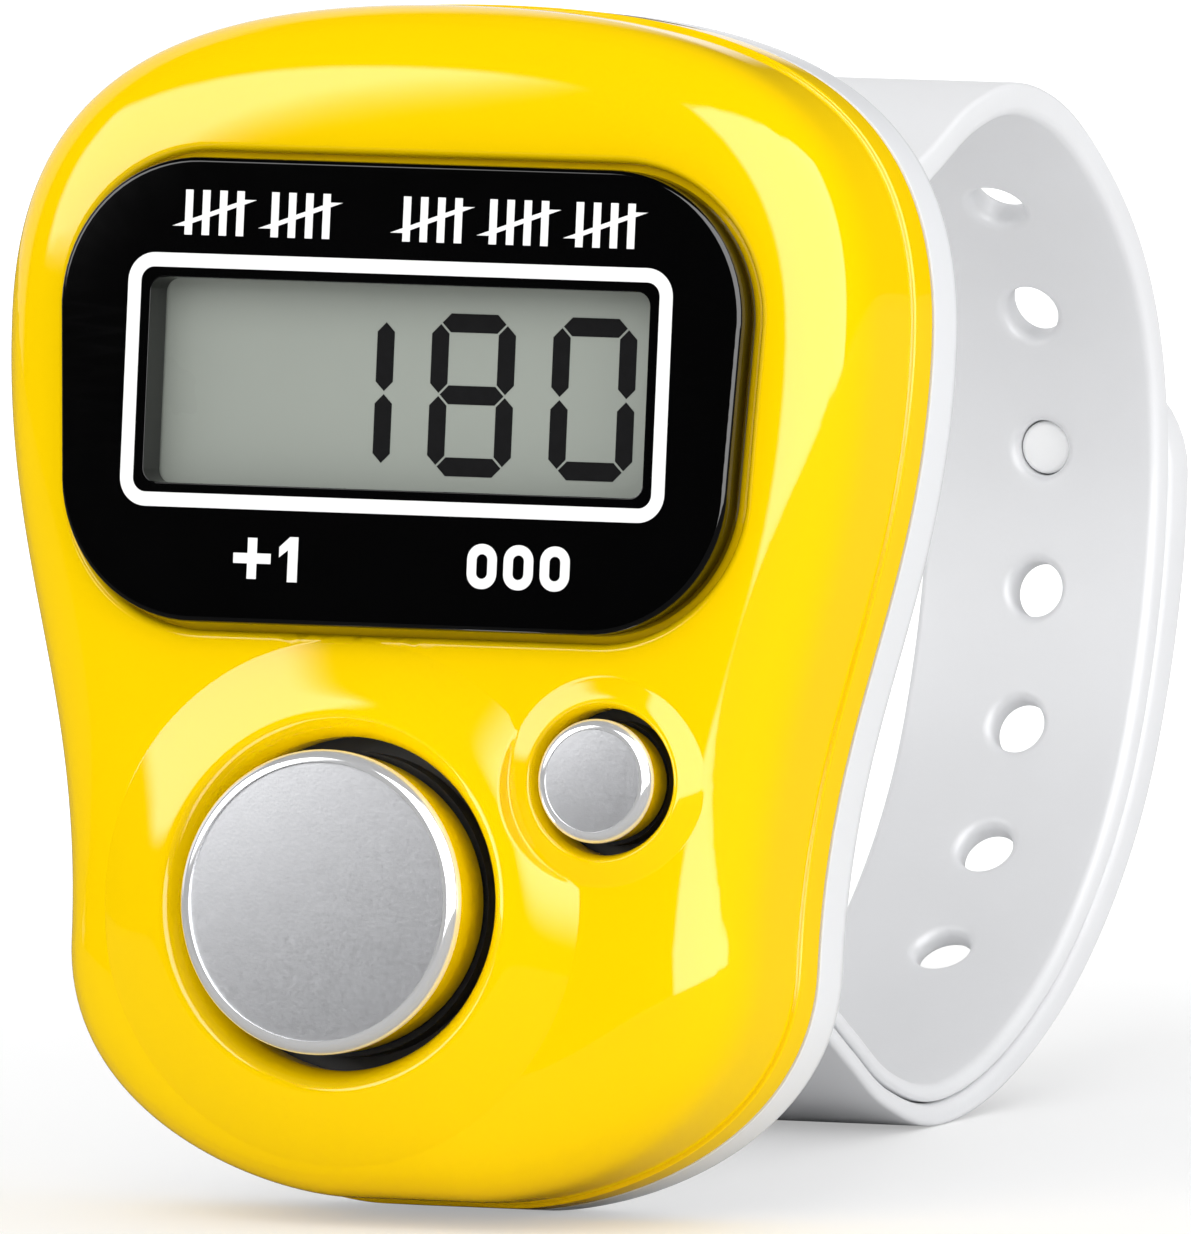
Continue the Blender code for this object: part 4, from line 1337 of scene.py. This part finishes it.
hole_loops = [circle((hole_run(k), 0.0), hole_radius, hole_steps) for k in range(hole_count)]
strap_upper = strap_sheet(strap_outline(-root_sink, tail_end, False, True), hole_loops,
                          on_path, upper_outside)
strap_upper = strap_upper.make("upper_strap_band", [strap_white], strap_sharp)
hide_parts("strap_upper")
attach(strap_upper, "case")

peg_base = upper_thickness + layer_gap
peg_sink = 0.3


def add_peg(sheet):
    """Peg through the upper strap's hole, from the lower strap's tip."""
    rings = []
    point_z, point_y, normal_z, normal_y = path_at(np.array([peg_run]))
    centre = Vector((0.0, float(point_y[0]), float(point_z[0])))
    out = Vector((0.0, float(normal_y[0]), float(normal_z[0])))
    along = Vector((0.0, -out.z, out.y))
    across = Vector((1.0, 0.0, 0.0))
    base = peg_base + peg_sink
    head = peg_head_radius
    profile = [(0.0, 0.4), (head * 0.8, 0.41), (head * 0.95, 0.44), (head, 0.52), (peg_radius, base),
               (0.0, base)]
    for radius, level in profile:
        middle = centre + out * level
        if radius == 0.0:
            rings.append(sheet.add_points([tuple(middle)]))
            continue
        ring = []
        for k in range(peg_steps):
            turn = 2 * math.pi * k / peg_steps
            ring.append(tuple(middle + (along * math.sin(turn) + across * math.cos(turn)) * radius))
        rings.append(sheet.add_points(ring))
    # The peg takes the brighter white, a painted highlight
    sheet.join_rings(rings, peg_steps, [1] * (len(profile) - 1))


strap_lower = strap_sheet(strap_outline(tip_end, path_length + root_sink, True, False),
                          [slot_loop(peg_run + fork_slot_start, peg_run + fork_slot_end,
                                     fork_slot_width / 2)],
                          lower_inside, lower_outside)
add_peg(strap_lower)
strap_lower = strap_lower.make("lower_strap_band", [strap_white, peg_painted_highlight], strap_sharp)
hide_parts("strap_lower", "strap_tip")


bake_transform(strap_lower)


# Solids that stay, with better finishes
finishes = (
    (lcd_film, "lcd_polariser"),
    (lcd_glass, "lcd_glass"),
    (foil, "lcd_reflector"),
    (zebra, "zebra_strip"),
    (board, "circuit_board"),
    (epoxy, "controller_blob"),
    (rubber, "lcd_support_strip", "count_dome", "reset_dome"),
    (steel, "battery_cell", "battery_clip", "battery_spring", "screw_upper_left",
     "screw_upper_right", "screw_lower_left", "screw_lower_right"),
)
for mat, *names in finishes:
    for name in names:
        for slot in frame["nodes"][name].material_slots:
            slot.material = mat


# Floor, light and camera
floor_grey = (0.88, 0.88, 0.88, 1.0)
seen_grey = (0.55, 0.55, 0.55, 1.0)
gloss_grey = (0.12, 0.12, 0.12, 1.0)
white = (1.0, 1.0, 1.0, 1.0)
glow_span = (0.03, 0.16)
glow_levels = (0.38, 0.75)


def stage_material():
    """White floor that keeps the shadow, shows white to the camera and dims in gloss."""
    mat = bpy.data.materials.new("studio_floor")
    mat.use_nodes = True
    tree = mat.node_tree
    shader = tree.nodes["Principled BSDF"]
    shader.inputs["Base Color"].default_value = floor_grey
    shader.inputs["Roughness"].default_value = 1.0
    shader.inputs["Specular IOR Level"].default_value = 0.0
    rays = add_node(tree, "LightPath").outputs
    spot = add_node(tree, "TexCoord").outputs["Object"]
    level = smooth_level(tree, joined(tree, "VectorMath", (spot,), "LENGTH", "Value"),
                         *glow_span, *glow_levels)
    glow = joined(tree, "Emission", (white, math_of(tree, "MULTIPLY", rays["Is Camera Ray"], level)))
    seen_floor = joined(tree, "MixShader", (rays["Is Camera Ray"], shader.outputs[0],
                                            joined(tree, "BsdfDiffuse", (seen_grey,))))
    plain = joined(tree, "MixShader", (rays["Is Glossy Ray"], seen_floor,
                                       joined(tree, "BsdfDiffuse", (gloss_grey,))))
    tree.links.new(joined(tree, "AddShader", (plain, glow)),
                   tree.nodes["Material Output"].inputs["Surface"])
    return mat


floor_half = 3.0
floor_mesh = bpy.data.meshes.new("studio_floor")
floor_mesh.from_pydata([(-floor_half, -floor_half, 0.0), (floor_half, -floor_half, 0.0),
                        (floor_half, floor_half, 0.0), (-floor_half, floor_half, 0.0)],
                       [], [(0, 1, 2, 3)])
floor_mesh.materials.append(stage_material())
floor = bpy.data.objects.new("studio_floor", floor_mesh)
scene.collection.objects.link(floor)

camera_side = math.radians(24.4)
camera_rise = math.radians(-0.88)
camera_roll = math.radians(2.46)
camera_distance = 1700.0
sensor_width = 36.0
photo_scale = 28.6
image_width, image_height = 1191.0, 1234.0
anchor_pixel = (395.8, 387.2)
anchor_place = place(0.0, window_centre, panel_face)


def direction(side, rise):
    """Unit vector from the object, side to the right of the front, and up."""
    return Vector((math.sin(side) * math.cos(rise), -math.cos(side) * math.cos(rise), math.sin(rise)))


# The camera's angles are those in the body's frame, which leans back
towards = body_turn @ Vector((math.sin(camera_side) * math.cos(camera_rise), math.sin(camera_rise),
                              math.cos(camera_side) * math.cos(camera_rise)))
level_right = (body_turn @ Vector((0.0, 1.0, 0.0))).cross(towards).normalized()
rightward = level_right * math.cos(camera_roll) + towards.cross(level_right) * math.sin(camera_roll)
upward = towards.cross(rightward)
aim = anchor_place + (rightward * (image_width / 2 - anchor_pixel[0])
                      - upward * (image_height / 2 - anchor_pixel[1])) * MM / photo_scale
camera_data = bpy.data.cameras.new("photo_camera")
camera_data.sensor_fit = "HORIZONTAL"
camera_data.sensor_width = sensor_width
camera_data.lens = sensor_width * camera_distance / (image_width / photo_scale)
camera_data.clip_start = 0.01
camera_data.clip_end = 20.0
camera = bpy.data.objects.new("photo_camera", camera_data)
scene.collection.objects.link(camera)
camera.matrix_world = Matrix.Translation(aim + towards * camera_distance * MM) @ Matrix((
    (rightward.x, upward.x, towards.x, 0.0),
    (rightward.y, upward.y, towards.y, 0.0),
    (rightward.z, upward.z, towards.z, 0.0),
    (0.0, 0.0, 0.0, 1.0),
))
scene.camera = camera

lamp_aim = place(0.0, 21.0, 0.0)


def soft_edges(data, share):
    """Makes a lamp dimmer towards its edges, over a share of its width."""
    data.use_nodes = True
    tree = data.node_tree
    split = add_node(tree, "SeparateXYZ")
    tree.links.new(add_node(tree, "NewGeometry").outputs["Parametric"], split.inputs[0])
    sides = []
    for way in split.outputs[:2]:
        near = math_of(tree, "MINIMUM", way, math_of(tree, "SUBTRACT", 1.0, way))
        sides.append(smooth_level(tree, near, 0.0, share, 0.0, 1.0))
    tree.links.new(math_of(tree, "MULTIPLY", *sides), tree.nodes["Emission"].inputs["Strength"])


def soft_box(name, side, rise, distance, width, height, strength, gloss=True, diffuse=True,
             soft=0.0):
    """Area lamp, seen from the object at a side and a rise in degrees.

    width and height are the angles that it fills, in degrees, and strength is
    its brightness, where 1 is white.
    """
    data = bpy.data.lights.new(name, "AREA")
    data.shape = "RECTANGLE"
    data.size = 2.0 * distance * math.tan(math.radians(width / 2))
    data.size_y = 2.0 * distance * math.tan(math.radians(height / 2))
    data.energy = strength * data.size * data.size_y * math.pi
    lamp = bpy.data.objects.new(name, data)
    scene.collection.objects.link(lamp)
    aim_way = direction(math.radians(side), math.radians(rise))
    lamp.location = lamp_aim + aim_way * distance
    lamp.rotation_euler = aim_way.to_track_quat("Z", "Y").to_euler()
    lamp.visible_camera = False
    lamp.visible_glossy = gloss
    lamp.visible_diffuse = diffuse
    if soft:
        soft_edges(data, soft)


soft_box("box_top_left", -44.0, 22.5, 0.8, 37.0, 28.0, 5.0, diffuse=False, soft=0.14)
soft_box("box_right", 52.0, 32.0, 0.8, 94.0, 70.0, 5.4, diffuse=False, soft=0.06)
soft_box("key_front", 0.0, 38.0, 0.9, 44.0, 44.0, 1.8, gloss=False)
soft_box("side_right", 86.0, 6.0, 0.9, 60.0, 20.0, 3.5, gloss=False)
soft_box("fill_behind", 190.0, 35.0, 0.9, 60.0, 44.0, 0.5, gloss=False)

# The world: white where it is seen, dim for the light it gives, and dark in
# gloss except in two patches, the white background behind the object and a
# pale one at the left behind
world = bpy.data.worlds.new("studio_world")
scene.world = world
world.use_nodes = True
sky = world.node_tree
sky_rays = add_node(sky, "LightPath").outputs
sky_way = add_node(sky, "TexCoord").outputs["Generated"]
ambient_level = 0.84
gloss_front_level = 0.02
left_back_way = direction(math.radians(-122.0), math.radians(10.0))
left_back_level = 0.8


def gloss_patch(way, low, high, low_level, high_level):
    """Level of a round patch, from the cosines of the angles where it begins and is full."""
    cosine = joined(sky, "VectorMath", (sky_way, way), "DOT_PRODUCT", "Value")
    return smooth_level(sky, cosine, low, high, low_level, high_level)


behind = gloss_patch(-direction(camera_side, 0.0), 0.97, 0.998, gloss_front_level, 1.0)
left_back = gloss_patch(left_back_way, 0.76, 0.84, 0.0, left_back_level)
seen = math_of(sky, "MAXIMUM", sky_rays["Is Camera Ray"], sky_rays["Is Transmission Ray"])
gloss_part = math_of(sky, "MULTIPLY", sky_rays["Is Glossy Ray"],
                     math_of(sky, "MAXIMUM", behind, left_back))
diffuse_part = math_of(sky, "MULTIPLY", math_of(sky, "SUBTRACT", 1.0, sky_rays["Is Glossy Ray"]),
                       ambient_level)
unseen = math_of(sky, "ADD", gloss_part, diffuse_part)
background = sky.nodes["Background"]
background.inputs["Color"].default_value = white
sky.links.new(math_of(sky, "MAXIMUM", seen, unseen), background.inputs["Strength"])

scene.view_settings.view_transform = "Standard"
